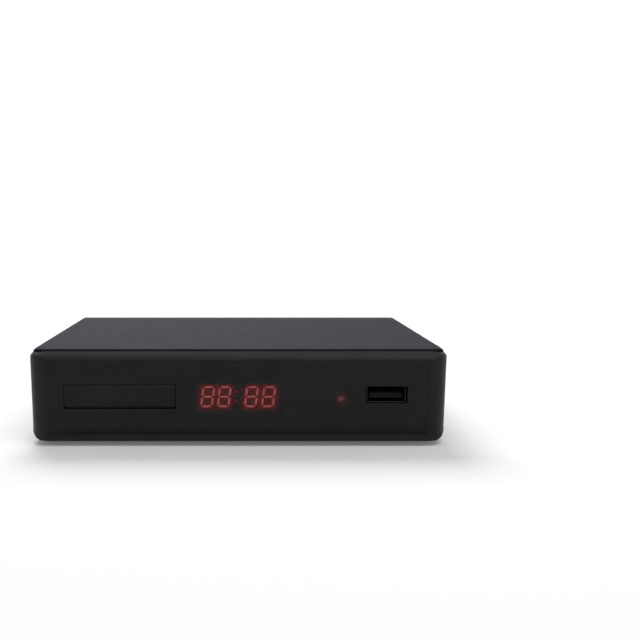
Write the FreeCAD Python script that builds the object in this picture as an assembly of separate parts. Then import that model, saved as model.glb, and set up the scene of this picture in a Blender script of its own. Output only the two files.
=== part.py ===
"""Small satellite television receiver: steel case, plastic front with a drop-down flap, boards and sockets.

Frame: the front faces -Y, +X is to the right seen from the front, +Z is up, millimetres. The origin is the
centre of the overall box on the surface that the feet stand on. Depths are counted back from the front face
and heights up from the bezel's underside; y_at and z_at turn them into the frame.
"""

import FreeCAD, Part
import math
import os

V = FreeCAD.Vector

# ---------------------------------------------------------------- case
case_depth = 90.0            # front face to the rear lip of the cover
foot_height = 1.3
bezel_width = 141.0
bezel_height = 30.7
bezel_side_depth = 8.0       # how far the bezel's cheeks reach back
bezel_corner_radius = 6.8    # rounded corners seen from above
bezel_edge_radius = 2.7      # rounded corners seen from the front
bezel_top_radius = 2.7
bezel_bottom_radius = 2.8
bezel_wall = 1.5
bezel_rim_depth = 3.2        # face to the front edge of the steel cover

cover_inset = 0.7            # cover's sides inside the bezel's cheeks
cover_thickness = 0.8
cover_rise = 0.75            # top of the cover above the bezel's rim
cover_bend_radius = 2.2      # outside of the bend
cover_side_low = 0.8         # lower edge of the cover's sides
cover_rear_radius = 1.2      # outside of the bend into the rear lip
cover_corner_radius = 5.0    # trimmed front corners, seen from above
cover_lip_height = 6.6       # lip bent down over the rear panel
cover_seam = 0.3             # gap between the cover and the bezel

base_thickness = 0.8
base_flange_height = 9.0
base_front_flange_depth = 17.5
base_front_flange_height = 4.0
rear_thickness = 0.8
rear_foot_length = 8.0       # flange of the rear panel on the base

sheet_gap = 0.15             # between nested sheets
fit_gap = 0.2                # between a body and the cut-out round it
pin_gap = 0.04               # radial running clearance
over = 1.0                   # how far a cutting tool runs past a face
tolerance = 1e-4             # for finding edges by their place

connector_reach = 11.0       # F connectors beyond the cover's rear lip
flap_proud = 0.5             # flap in front of the face

# ---------------------------------------------------------------- front window and its cut-outs
window_thickness = 2.0
window_side = 7.1            # bezel's side to the window
window_bottom = 3.0
window_top_margin = 3.2
window_joint = 0.05
backing_thickness = 1.5      # bezel wall behind the window

flap_side = 5.2              # window's left edge to the flap
flap_width = 37.2
flap_bottom = 11.7
flap_height = 8.0
flap_thickness = 1.8
flap_gap = 0.25
flap_bevel = 0.35
barrel_radius = 1.5          # rolled lower edge round the hinge axis
pocket_wall = 1.2
pocket_depth = 6.4           # face to the pocket's floor
pocket_floor = 1.0
pin_radius = 0.5
pin_in_flap = 2.3

usb_side = 13.9              # middle of the socket to the window's right edge
usb_centre_height = 16.5
usb_slot_width = 13.9
usb_slot_height = 5.9
usb_slot_radius = 0.6
usb_shell_width = 13.1
usb_shell_height = 5.7
usb_shell_wall = 0.3
usb_shell_front = 0.9
usb_tongue_width = 11.1
usb_tongue_thickness = 1.9
usb_tongue_front = 2.2
usb_tongue_gap = 0.8         # under the tongue
usb_contact_start = 0.6      # behind the tongue's tip
usb_insulator_depth = 2.2
usb_contact_width = 1.1
usb_contact_thickness = 0.15
usb_contact_pitch = 2.3
usb_contact_count = 4

# ---------------------------------------------------------------- front board
front_board_depth = 12.4     # face to the board's front side
front_board_thickness = 1.2
front_board_side = 3.8       # gap at each end, inside the bezel
front_board_bottom = 5.2
front_board_headroom = 1.15
boss_radius = 2.5
front_screw_side_inset = 2.9
front_screw_end_inset = 2.6

display_centre_height = 14.9
display_width = 30.2
display_height = 10.6
display_front = 3.8
display_view_width = 28.6
display_view_height = 9.8
digit_height = 7.6
digit_width = 4.6
digit_stroke = 0.95
digit_slant = 7.0
digit_gap = 0.14
digit_centres = (-10.4, -4.8, 4.4, 10.2)
colon_x = -0.5
colon_dot_radius = 0.55
colon_spread = 1.7
segment_depth = 1.2
segment_proud = 0.05

led_from_usb = 14.9
led_height = 14.4
led_radius = 1.5
led_tip = 2.6
led_length = 5.0
led_flange_radius = 1.9
led_flange_thickness = 1.0
infrared_from_led = 11.4
infrared_height = 14.4
infrared_width = 6.0
infrared_tall = 7.0
infrared_front = 6.0
infrared_lens_radius = 2.0

button_names = ("standby", "channel_down", "channel_up")
button_start = 6.2           # flap's left edge to the first button's middle
button_pitch = 12.0
button_width = 8.0
button_tall = 3.8
button_proud = 0.6           # beyond the pocket's floor
button_gap = 0.15
button_corner = 0.6          # of the hole
button_flange = 0.6
button_flange_thickness = 0.5
button_travel = 0.4
switch_size = 6.0
switch_height = 3.5
switch_cover_thickness = 0.3
stem_radius = 1.7
stem_length = 2.3

header_width = 18.0
header_height = 5.0
header_depth = 6.0
ribbon_width = 15.0
ribbon_thickness = 0.8
ribbon_bend = 3.0            # middle of the ribbon
ribbon_rise = 1.5
main_header_depth = 30.0
ribbon_x = 19.0

# ---------------------------------------------------------------- main board
standoff_height = 4.0
standoff_radius = 3.0
main_board_thickness = 1.6
main_board_side = 5.0        # gap to the cover on each side
main_board_front = 21.0
main_board_rear_gap = 0.4
board_screw_side_inset = 6.0
board_screw_middle_x = 2.0
board_screw_front_inset = 5.0
board_screw_before_tuner = 3.2

# ---------------------------------------------------------------- screws
m3_radius = 1.45
m3_hole = 1.6
m3_head_radius = 2.75
m3_head_height = 1.8
low_head_height = 0.9
m2_radius = 0.95
m2_hole = 1.05
m2_head_radius = 1.9
m2_head_height = 1.2
head_rounding = 0.4          # share of the head's height
cross_depth = 0.5
cross_width = 0.6
cross_arm = 0.6              # half length of the cross, as a share of the head's radius
cover_screw_x = (-50.0, 0.0, 50.0)
cover_screw_drop = 3.6       # below the cover's top
cover_screw_length = 5.0
board_screw_length = 4.5
rear_screw_x = (-35.0, 35.0)
rear_screw_length = 1.7
bezel_screw_x = (-45.0, 45.0)
bezel_screw_depth = 12.2
bezel_boss_radius = 2.8
bezel_screw_length = 4.0
front_screw_length = 5.0

# ---------------------------------------------------------------- rear connectors
tuner_width = 32.0
tuner_depth = 28.0
tuner_height = 13.0
tuner_wall = 0.5
tuner_lid_skirt = 4.0
f_spread = 17.0
f_height = 6.5               # above the main board
f_radius = 4.76
f_bore = 3.4
f_bore_depth = 9.0
f_contact_radius = 0.6
f_contact_depth = 8.0
f_insulator_set_back = 0.8
f_nut_flats = 11.0
f_nut_thickness = 2.0
f_washer_radius = 6.4
f_washer_thickness = 0.5
f_flange_radius = 6.0
f_flange_thickness = 1.0
f_relief_width = 0.8         # groove in the thread just outside the nut
f_relief_depth = 0.4

scart_width = 52.0
scart_height = 15.0
scart_depth = 16.0
scart_proud = 0.6
scart_mouth_width = 46.8
scart_mouth_height = 11.6
scart_mouth_depth = 9.0
scart_key = 4.0
scart_core_width = 41.0
scart_core_height = 6.2
scart_core_set_back = 0.8
scart_slot_pitch = 3.81
scart_slot_length = 2.0
scart_slot_height = 1.6
scart_slot_depth = 6.0
scart_slot_count = 10
scart_row_spread = 1.55
scart_blade = 0.5

hdmi_width = 15.0
hdmi_height = 5.9
hdmi_depth = 12.0
hdmi_wall = 0.4
hdmi_key = 1.5
hdmi_tongue_width = 11.5
hdmi_tongue_thickness = 1.2
hdmi_tongue_length = 7.0
hdmi_tongue_height = 2.6     # above the main board
hdmi_block_depth = 3.0
hdmi_proud = 0.3

coax_block = 10.0
coax_block_depth = 10.0
coax_socket = 4.0            # barrel inside its block
coax_height = 6.2
coax_radius = 4.15
coax_wall = 0.5
coax_reach = 8.5             # beyond the rear panel
coax_contact_radius = 1.6
coax_insulator_set_back = 0.5
coax_contact_depth = 8.0
coax_collar_radius = 4.9
coax_collar_thickness = 0.8

power_width = 9.0
power_height = 11.0
power_depth = 14.0
power_axis_height = 6.5
power_bore = 3.15
power_bore_depth = 9.5
power_pin_radius = 1.05
power_pin_length = 8.7
power_nose_radius = 4.0

# ---------------------------------------------------------------- parts on the main board
processor_side = 50.0        # from the board's left edge
processor_before_tuner = 11.2
processor_size = 19.0
processor_height = 1.4
heatsink_size = 25.0
heatsink_base = 2.0
heatsink_fin_height = 6.0
heatsink_fin_thickness = 1.0
heatsink_fin_count = 8
memory_side = 26.0           # from the board's left edge
memory_before_tuner = 15.2
memory_width = 9.0
memory_length = 13.0
memory_height = 1.2
flash_behind_memory = 16.0
flash_width = 5.3
flash_length = 5.3
flash_height = 1.9
crystal_x = 6.0
crystal_past_tuner_front = 6.8
crystal_length = 11.0
crystal_width = 4.6
crystal_height = 3.5
regulator_offset = 2.2       # to the right of the power inlet's middle
regulator_past_tuner_front = 6.8
regulator_width = 6.6
regulator_length = 6.2
regulator_height = 2.3
regulator_tab_width = 5.3
regulator_tab_length = 1.5
regulator_tab_thickness = 0.6
# side of the board (-1 left, 0 middle, 1 right), inset from it, distance before the tuner, radius, height
capacitor_places = (
    (-1, 4.5, 13.2, 4.0, 11.0),
    (-1, 14.0, 13.2, 4.0, 11.0),
    (-1, 14.0, 23.2, 3.15, 8.0),
    (0, 24.0, 15.2, 3.15, 8.0),
    (0, 24.0, 5.2, 3.15, 8.0),
    (1, 20.0, 9.2, 4.0, 11.0),
    (1, 10.0, 9.2, 2.5, 7.0),
)
capacitor_groove_height = 1.0   # above the board
capacitor_groove_width = 0.6
capacitor_groove_depth = 0.25
inductor_places = ((-1, 4.5, 23.7), (0, 34.0, 19.2))
inductor_size = 7.0
inductor_height = 4.0
inductor_core_radius = 2.6
inductor_groove = 0.4         # round the core

# ---------------------------------------------------------------- vents and feet
side_vent_count = 12
side_vent_pitch = 4.2
side_vent_width = 1.8
side_vent_height = 12.0
side_vent_start = 32.0
side_vent_bottom = 9.0
base_vent_count = 12
base_vent_pitch = 5.0
base_vent_width = 2.0
base_vent_length = 18.0
base_vent_depths = (42.0, 68.0)
foot_radius = 6.0
foot_inset_x = 12.0
foot_front_depth = 20.0
foot_rear_inset = 12.0

# ---------------------------------------------------------------- row of sockets at the back
# gaps from the cover's left side: to the power inlet, on to the sound, HDMI and AV sockets and the tuner,
# and from the tuner to the cover's right side; a wider or narrower row shares the room in these proportions
row_gaps = (5.3, 1.2, 2.0, 3.5, 2.5, 5.5)
row_widths = (power_width, coax_block, hdmi_width, scart_width, tuner_width)

# ---------------------------------------------------------------- worked out from the sizes above
# across: bezel, cover inside its cheeks, window, and the row of sockets on the main board
bezel_half = bezel_width / 2
cover_width = bezel_width - 2 * cover_inset
cover_half = cover_width / 2
cover_inner_half = cover_half - cover_thickness
window_width = bezel_width - 2 * window_side
window_half = window_width / 2
flap_left = flap_side - window_half
flap_right = flap_left + flap_width
button_centres = [flap_left + button_start + i * button_pitch for i in range(len(button_names))]
usb_centre_x = window_half - usb_side
led_x = usb_centre_x - led_from_usb
infrared_x = led_x - infrared_from_led
row_scale = (2 * cover_inner_half - sum(row_widths)) / sum(row_gaps)
row_centres = []
row_reach = -cover_inner_half
for row_gap, row_width in zip(row_gaps, row_widths):
    row_centres.append(row_reach + row_gap * row_scale + row_width / 2)
    row_reach += row_gap * row_scale + row_width
power_x, coax_x, hdmi_x, scart_x, tuner_x = row_centres
main_board_width = 2 * (cover_inner_half - main_board_side * row_scale)
board_half = main_board_width / 2
processor_x = processor_side - board_half
memory_x = memory_side - board_half

# back from the face: the rear panel stands inside the cover's lip, and the tuner in front of the panel
face_y = -(case_depth + connector_reach - flap_proud) / 2
rear_outer = case_depth - cover_thickness        # outside of the rear panel
rear_inner = rear_outer - rear_thickness
tuner_back = rear_inner - fit_gap - f_flange_thickness
tuner_front = tuner_back - tuner_depth

# up
board_underside = base_thickness + standoff_height
board_top = board_underside + main_board_thickness
cover_top = bezel_height + cover_rise
window_top = bezel_height - window_top_margin

cover_inner_radius = cover_bend_radius - cover_thickness
cover_underside = cover_top - cover_thickness
skirt_half = cover_inner_half - fit_gap
skirt_top = cover_underside - fit_gap
skirt_bottom = base_thickness + fit_gap
cavity_half = skirt_half - bezel_wall
cavity_top = skirt_top - bezel_wall
cavity_bottom = skirt_bottom + bezel_wall
wall_back = window_thickness + backing_thickness
front_board_back = front_board_depth + front_board_thickness
skirt_end = front_board_back
front_board_width = 2 * (cavity_half - front_board_side)
front_board_half = front_board_width / 2
front_board_top = cavity_top - front_board_headroom
board_rear = rear_inner - main_board_rear_gap
board_screw_side_x = board_half - board_screw_side_inset
board_screw_x = (-board_screw_side_x, board_screw_middle_x, board_screw_side_x)
board_screw_depths = (main_board_front + board_screw_front_inset, tuner_front - board_screw_before_tuner)
processor_depth = tuner_front - processor_before_tuner
memory_depth = tuner_front - memory_before_tuner
flash_depth = memory_depth + flash_behind_memory
crystal_depth = tuner_front + crystal_past_tuner_front
regulator_depth = tuner_front + regulator_past_tuner_front
regulator_x = power_x + regulator_offset
flap_top = flap_bottom + flap_height
hinge_depth = barrel_radius - flap_proud
hinge_height = flap_bottom + barrel_radius
button_height = (flap_bottom + flap_top) / 2
flange_back = pocket_depth + pocket_floor + fit_gap / 2 + button_flange_thickness
cover_screw_height = cover_top - cover_screw_drop
rear_screw_depth = rear_inner - rear_foot_length / 2
header_x = ribbon_x
ribbon_height = board_top + header_height + ribbon_rise + ribbon_bend


def y_at(depth):
    """Depth behind the front face to the frame's y."""
    return face_y + depth


def z_at(height):
    """Height above the bezel's underside to the frame's z."""
    return foot_height + height


# ---------------------------------------------------------------- shapes
def block(x0, x1, d0, d1, h0, h1):
    """Box from its limits in x, depth and height."""
    return Part.makeBox(x1 - x0, d1 - d0, h1 - h0, V(x0, y_at(d0), z_at(h0)))


def centred_block(x, width, d0, d1, h0, h1):
    return block(x - width / 2, x + width / 2, d0, d1, h0, h1)


def rod_y(x, height, radius, d0, d1):
    """Cylinder along Y between two depths."""
    return Part.makeCylinder(radius, d1 - d0, V(x, y_at(d0), z_at(height)), V(0, 1, 0))


def rod_z(x, depth, radius, h0, h1):
    """Upright cylinder between two heights."""
    return Part.makeCylinder(radius, h1 - h0, V(x, y_at(depth), z_at(h0)), V(0, 0, 1))


def rod_x(depth, height, radius, x0, x1):
    """Cylinder along X."""
    return Part.makeCylinder(radius, x1 - x0, V(x0, y_at(depth), z_at(height)), V(1, 0, 0))


def joined(shapes):
    """One solid out of overlapping or touching shapes."""
    first = shapes[0]
    rest = shapes[1:]
    whole = first.fuse(rest) if rest else first
    return whole.removeSplitter()


def group(shapes):
    """Separate solids kept in one node."""
    return Part.makeCompound(shapes)


def prism(points, direction):
    """Closed polygon swept along a straight direction."""
    wire = Part.makePolygon(points + [points[0]])
    return Part.Face(wire).extrude(direction)


def arc_edge(centre, radius, start_degrees, end_degrees, u, w):
    """Arc in the plane of u and w, angles measured from u towards w."""
    def point(degrees):
        angle = math.radians(degrees)
        return centre + u * (radius * math.cos(angle)) + w * (radius * math.sin(angle))
    middle = (start_degrees + end_degrees) / 2
    return Part.Arc(point(start_degrees), point(middle), point(end_degrees)).toShape()


def line(a, b):
    return Part.LineSegment(a, b).toShape()


def plan_block(half_width, front, back, corner_radius, h0, h1):
    """Upright slab whose two front corners are rounded, seen from above."""
    z = z_at(h0)
    inner = half_width - corner_radius
    turn = front + corner_radius
    left_centre = V(-inner, y_at(turn), z)
    right_centre = V(inner, y_at(turn), z)
    u = V(1, 0, 0)
    w = V(0, 1, 0)
    edges = [
        line(V(-half_width, y_at(back), z), V(-half_width, y_at(turn), z)),
        arc_edge(left_centre, corner_radius, 180, 270, u, w),
        line(V(-inner, y_at(front), z), V(inner, y_at(front), z)),
        arc_edge(right_centre, corner_radius, 270, 360, u, w),
        line(V(half_width, y_at(turn), z), V(half_width, y_at(back), z)),
        line(V(half_width, y_at(back), z), V(-half_width, y_at(back), z)),
    ]
    return Part.Face(Part.Wire(edges)).extrude(V(0, 0, h1 - h0))


def arch_block(half_width, bend_radius, d0, d1, h0, h1):
    """Long block whose two upper edges are rounded, seen from the front."""
    y = y_at(d0)
    inner = half_width - bend_radius
    spring = z_at(h1) - bend_radius
    u = V(1, 0, 0)
    w = V(0, 0, 1)
    edges = [
        line(V(-half_width, y, z_at(h0)), V(-half_width, y, spring)),
        arc_edge(V(-inner, y, spring), bend_radius, 180, 90, u, w),
        line(V(-inner, y, z_at(h1)), V(inner, y, z_at(h1))),
        arc_edge(V(inner, y, spring), bend_radius, 90, 0, u, w),
        line(V(half_width, y, spring), V(half_width, y, z_at(h0))),
        line(V(half_width, y, z_at(h0)), V(-half_width, y, z_at(h0))),
    ]
    return Part.Face(Part.Wire(edges)).extrude(V(0, d1 - d0, 0))


def edges_at(shape, test):
    """The edges whose every vertex passes the test."""
    return [e for e in shape.Edges if all(test(v.Point) for v in e.Vertexes)]


def profile_block(half_width, depth, top, top_radius, bottom_radius):
    """Long block along x whose two front edges are rounded, seen from the side."""
    x = -half_width
    u = V(0, 1, 0)
    w = V(0, 0, 1)
    high = V(x, y_at(top_radius), z_at(top - top_radius))
    low = V(x, y_at(bottom_radius), z_at(bottom_radius))
    edges = [
        line(V(x, y_at(0), z_at(bottom_radius)), V(x, y_at(0), z_at(top - top_radius))),
        arc_edge(high, top_radius, 180, 90, u, w),
        line(V(x, y_at(top_radius), z_at(top)), V(x, y_at(depth), z_at(top))),
        line(V(x, y_at(depth), z_at(top)), V(x, y_at(depth), z_at(0))),
        line(V(x, y_at(depth), z_at(0)), V(x, y_at(bottom_radius), z_at(0))),
        arc_edge(low, bottom_radius, 270, 180, u, w),
    ]
    return Part.Face(Part.Wire(edges)).extrude(V(2 * half_width, 0, 0))


def rounded_slot(x, height, width, tall, radius, d0, d1):
    """Rectangular bar along Y with rounded corners."""
    bar = centred_block(x, width, d0, d1, height - tall / 2, height + tall / 2)
    along = [e for e in bar.Edges if abs(e.Vertexes[0].X - e.Vertexes[-1].X) < tolerance
             and abs(e.Vertexes[0].Z - e.Vertexes[-1].Z) < tolerance]
    return bar.makeFillet(radius, along)


def screw(head_radius, head_height, shank_radius, length):
    """Pan-head screw with a cross recess; its head sits on z = 0 and the shank hangs below."""
    head = Part.makeCylinder(head_radius, head_height)
    circles = [e for e in head.Edges if e.Curve.TypeId == "Part::GeomCircle"]
    top_edge = [e for e in circles if e.Vertexes[0].Z > head_height / 2]
    head = head.makeFillet(head_height * head_rounding, top_edge)
    shank = Part.makeCylinder(shank_radius, length, V(0, 0, -length))
    arm = 2 * head_radius * cross_arm
    bars = []
    for size_x, size_y in ((arm, cross_width), (cross_width, arm)):
        corner = V(-size_x / 2, -size_y / 2, head_height - cross_depth)
        bars.append(Part.makeBox(size_x, size_y, head_height, corner))
    return joined([head, shank]).cut(bars)


def placed(shape, x, depth, height, normal):
    """Copy of a shape made on z = 0, turned so that +Z points along normal."""
    copy = shape.copy()
    turn = FreeCAD.Rotation(V(0, 0, 1), normal)
    copy.Placement = FreeCAD.Placement(V(x, y_at(depth), z_at(height)), turn)
    return copy


# ---------------------------------------------------------------- case
def cover_outline(offset, h0, h1):
    """The space that the cover's outline takes up, seen from above, grown by offset."""
    return plan_block(cover_half + offset, bezel_rim_depth - offset, case_depth,
                      cover_corner_radius, h0, h1)


def side_vent_cuts():
    top = side_vent_bottom + side_vent_height
    cuts = []
    reach = cover_half + over
    for i in range(side_vent_count):
        depth = side_vent_start + i * side_vent_pitch
        cuts.append(block(-reach, reach, depth, depth + side_vent_width, side_vent_bottom, top))
    return cuts


def make_top_cover():
    """Bent steel: top and two sides, trimmed front corners, a lip down the back."""
    outer = arch_block(cover_half, cover_bend_radius, bezel_rim_depth, rear_outer,
                       cover_side_low, cover_top)
    inner = arch_block(cover_inner_half, cover_inner_radius, 0, case_depth, -foot_height, cover_underside)
    shell = outer.cut(inner).common(cover_outline(0, 0, cover_top))
    lip_low = cover_top - cover_lip_height
    lip = arch_block(cover_half, cover_bend_radius, rear_outer, case_depth, lip_low, cover_top)
    cheeks = block(-bezel_half, bezel_half, 0, bezel_side_depth + cover_seam,
                   0, cover_top - cover_bend_radius)
    holes = [rod_y(x, cover_screw_height, m3_hole, rear_inner, case_depth) for x in cover_screw_x]
    shell = shell.cut([cheeks] + side_vent_cuts())
    cover = joined([shell, lip.cut(holes)])
    rear_y = y_at(case_depth)
    top_z = z_at(cover_top)
    rear_bend = edges_at(cover, lambda p: abs(p.y - rear_y) < tolerance and abs(p.z - top_z) < tolerance)
    return cover.makeFillet(cover_rear_radius, rear_bend)


def make_base_chassis():
    """Steel tray: vented floor, two side flanges and a low front flange."""
    half = cover_inner_half - sheet_gap
    start = bezel_side_depth + cover_seam
    floor = block(-half, half, start, rear_inner, 0, base_thickness)
    flange_start = skirt_end + fit_gap
    left = block(-half, -half + base_thickness, flange_start, rear_inner - rear_foot_length,
                 0, base_flange_height)
    right = block(half - base_thickness, half, flange_start, rear_inner - rear_foot_length,
                  0, base_flange_height)
    front = block(-half, half, base_front_flange_depth, base_front_flange_depth + base_thickness,
                  0, base_front_flange_height)
    vents = []
    row_start = -(base_vent_count - 1) * base_vent_pitch / 2
    for depth in base_vent_depths:
        for i in range(base_vent_count):
            x = row_start + i * base_vent_pitch
            vents.append(centred_block(x, base_vent_width, depth - base_vent_length / 2,
                                       depth + base_vent_length / 2, -over, base_thickness + over))
    through = (-over, base_thickness + over)
    holes = [rod_z(x, bezel_screw_depth, m3_hole, *through) for x in bezel_screw_x]
    holes += [rod_z(x, rear_screw_depth, m3_hole, *through) for x in rear_screw_x]
    return joined([floor, left, right, front]).cut(vents + holes)


def make_rear_panel():
    """Flat steel plate with a foot flange, cut out for every socket."""
    half = cover_inner_half - sheet_gap
    plate = arch_block(half, cover_inner_radius, rear_inner, rear_outer, 0, cover_underside - sheet_gap)
    foot = block(-half, half, rear_inner - rear_foot_length, rear_inner,
                 base_thickness, base_thickness + rear_thickness)
    through = (rear_inner - over, rear_outer + over)
    cuts = [rod_y(x, board_top + f_height, f_radius + fit_gap, *through) for x in f_centres()]
    cuts.append(centred_block(scart_x, scart_width + 2 * fit_gap, *through,
                              board_top - fit_gap, board_top + scart_height + fit_gap))
    cuts.append(centred_block(hdmi_x, hdmi_width + 2 * fit_gap, *through,
                              board_top - fit_gap, board_top + hdmi_height + fit_gap))
    cuts.append(rod_y(coax_x, board_top + coax_height, coax_radius + fit_gap, *through))
    cuts.append(rod_y(power_x, board_top + power_axis_height, power_nose_radius + fit_gap, *through))
    cuts += [rod_y(x, cover_screw_height, m3_radius + pin_gap, *through) for x in cover_screw_x]
    foot_top = base_thickness + rear_thickness
    cuts += [rod_z(x, rear_screw_depth, m3_radius + pin_gap, 0, foot_top + over) for x in rear_screw_x]
    return joined([plate, foot]).cut(cuts)


def foot_places():
    x = cover_half - foot_inset_x
    depths = (foot_front_depth, case_depth - foot_rear_inset)
    return [(side * x, depth) for side in (-1, 1) for depth in depths]


def make_rubber_feet():
    return group([rod_z(x, depth, foot_radius, -foot_height, 0) for x, depth in foot_places()])


def make_cover_screws():
    one = screw(m3_head_radius, m3_head_height, m3_radius, cover_screw_length)
    return group([placed(one, x, case_depth, cover_screw_height, V(0, 1, 0)) for x in cover_screw_x])


def make_rear_panel_screws():
    one = screw(m3_head_radius, low_head_height, m3_radius, rear_screw_length)
    return group([placed(one, x, rear_screw_depth, 0, V(0, 0, -1)) for x in rear_screw_x])


def make_bezel_screws():
    one = screw(m3_head_radius, low_head_height, m3_radius, bezel_screw_length)
    return group([placed(one, x, bezel_screw_depth, 0, V(0, 0, -1)) for x in bezel_screw_x])


# ---------------------------------------------------------------- front
def flap_opening(grow, d0, d1):
    """The flap's outline grown by a margin on every side, between two depths."""
    return block(flap_left - grow, flap_right + grow, d0, d1, flap_bottom - grow, flap_top + grow)


def front_screw_places():
    x = front_board_half - front_screw_side_inset
    heights = (front_board_bottom + front_screw_end_inset, front_board_top - front_screw_end_inset)
    return [(side * x, height) for side in (-1, 1) for height in heights]


def make_front_bezel():
    """Moulded front: rounded shell, recess for the window, pocket for the flap, skirt inside the cover."""
    outline = rounded_slot(0, bezel_height / 2, bezel_width, bezel_height, bezel_edge_radius,
                           -over, skirt_end)
    shell = plan_block(bezel_half, 0, bezel_side_depth, bezel_corner_radius, 0, bezel_height)
    profile = profile_block(bezel_half + over, bezel_side_depth + over, bezel_height,
                            bezel_top_radius, bezel_bottom_radius)
    shell = shell.common(profile).common(outline)
    skirt = arch_block(skirt_half, cover_inner_radius, wall_back, skirt_end, skirt_bottom, skirt_top)
    body = shell.fuse(skirt.common(outline))
    cavity = block(-cavity_half, cavity_half, wall_back, skirt_end + over, cavity_bottom, cavity_top)
    body = body.cut([cavity, cover_keep_out()])
    half = window_half + window_joint
    recess = block(-half, half, -over, window_thickness,
                   window_bottom - window_joint, window_top + window_joint)
    body = body.cut(recess)
    additions = [flap_opening(flap_gap + pocket_wall, 0, pocket_depth + pocket_floor)]
    boss_start = wall_back - backing_thickness / 2
    for x, height in front_screw_places():
        additions.append(rod_y(x, height, boss_radius, boss_start, front_board_depth))
    boss_top = front_board_bottom - fit_gap
    for x in bezel_screw_x:
        additions.append(rod_z(x, bezel_screw_depth, bezel_boss_radius, skirt_bottom, boss_top))
    body = body.fuse(additions)
    return body.cut(bezel_openings()).removeSplitter()


def cover_keep_out():
    """Room for the cover's front edge, and for its bend over the cheeks."""
    top = cover_top + over
    sheet = cover_outline(cover_seam, skirt_top, top)
    bend_low = cover_top - cover_bend_radius - cover_seam
    bend_inner = cover_half - cover_bend_radius
    bends = block(-bezel_half, bezel_half, 0, bezel_side_depth, bend_low, top)
    bends = bends.cut(block(-bend_inner, bend_inner, -over, case_depth, 0, top + over))
    return sheet.fuse(bends.common(cover_outline(cover_seam, 0, top)))


def bezel_openings():
    """Everything that passes through the bezel's wall behind the window."""
    cuts = [flap_opening(flap_gap, -over, pocket_depth)]
    wide = button_width + 2 * button_gap
    tall = button_tall + 2 * button_gap
    for x in button_centres:
        cuts.append(rounded_slot(x, button_height, wide, tall, button_corner,
                                 pocket_depth - over, pocket_depth + pocket_floor + over))
    cuts.append(rounded_slot(usb_centre_x, usb_centre_height, usb_slot_width, usb_slot_height,
                             usb_slot_radius, -over, wall_back + over))
    low = display_centre_height - display_view_height / 2
    high = display_centre_height + display_view_height / 2
    cuts.append(centred_block(0, display_view_width, -over, wall_back + over, low, high))
    cuts.append(rod_y(led_x, led_height, led_radius + fit_gap, -over, wall_back + over))
    lens_hole = infrared_lens_radius + fit_gap
    cuts.append(rod_y(infrared_x, infrared_height, lens_hole, -over, wall_back + over))
    reach = flap_gap + pocket_wall
    cuts.append(rod_x(hinge_depth, hinge_height, pin_radius + pin_gap / 2,
                      flap_left - reach, flap_right + reach))
    start = front_board_depth - front_screw_length
    for x, height in front_screw_places():
        cuts.append(rod_y(x, height, m2_radius + pin_gap, start, front_board_depth + over))
    top = base_thickness + bezel_screw_length
    cuts += [rod_z(x, bezel_screw_depth, m3_radius + pin_gap, 0, top) for x in bezel_screw_x]
    return cuts


def make_front_window():
    """Smoked glossy plate, flush with the bezel's face, cut out for the flap and the USB socket."""
    plate = block(-window_half, window_half, 0, window_thickness, window_bottom, window_top)
    joint = flap_gap + pocket_wall + window_joint
    slot = rounded_slot(usb_centre_x, usb_centre_height, usb_slot_width, usb_slot_height,
                        usb_slot_radius, -over, window_thickness + over)
    return plate.cut([flap_opening(joint, -over, window_thickness + over), slot])


def make_control_flap():
    """Plate whose lower edge is rolled round the hinge axis; its front edges are bevelled."""
    back = flap_thickness - flap_proud
    plate = block(flap_left, flap_right, -flap_proud, back, hinge_height, flap_top)
    front_y = y_at(-flap_proud)
    top_z = z_at(flap_top)
    bevelled = []
    for e in plate.Edges:
        points = [v.Point for v in e.Vertexes]
        on_front = all(abs(p.y - front_y) < tolerance for p in points)
        low = all(p.z < top_z - tolerance for p in points) and abs(points[0].z - points[1].z) < tolerance
        if on_front and not low:
            bevelled.append(e)
    plate = plate.makeChamfer(flap_bevel, bevelled)
    barrel = rod_x(hinge_depth, hinge_height, barrel_radius, flap_left, flap_right)
    hole = pin_radius + pin_gap
    holes = [
        rod_x(hinge_depth, hinge_height, hole, flap_left - over, flap_left + pin_in_flap),
        rod_x(hinge_depth, hinge_height, hole, flap_right - pin_in_flap, flap_right + over),
    ]
    return joined([plate, barrel]).cut(holes)


def make_flap_pins():
    outer = flap_gap + pocket_wall
    inner = pin_in_flap - fit_gap
    left = rod_x(hinge_depth, hinge_height, pin_radius, flap_left - outer, flap_left + inner)
    right = rod_x(hinge_depth, hinge_height, pin_radius, flap_right - inner, flap_right + outer)
    return group([left, right])


def make_button(x):
    """Push button: head through the pocket's floor, flange behind it."""
    head = rounded_slot(x, button_height, button_width, button_tall, button_corner - button_gap,
                        pocket_depth - button_proud, flange_back)
    wide = button_width + 2 * button_flange
    tall = button_tall + 2 * button_flange
    flange = centred_block(x, wide, flange_back - button_flange_thickness, flange_back,
                           button_height - tall / 2, button_height + tall / 2)
    return joined([head, flange])


def make_stem(x):
    return rod_y(x, button_height, stem_radius, flange_back, flange_back + stem_length)


def make_tact_switches():
    """Three square switch bodies on the front board, each bored for its stem."""
    bodies = []
    front = front_board_depth - switch_height + switch_cover_thickness
    for x in button_centres:
        low = button_height - switch_size / 2
        body = centred_block(x, switch_size, front, front_board_depth, low, low + switch_size)
        bore = rod_y(x, button_height, stem_radius + pin_gap, front - over,
                     flange_back + stem_length + button_travel + fit_gap)
        bodies.append(body.cut(bore))
    return group(bodies)


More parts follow.
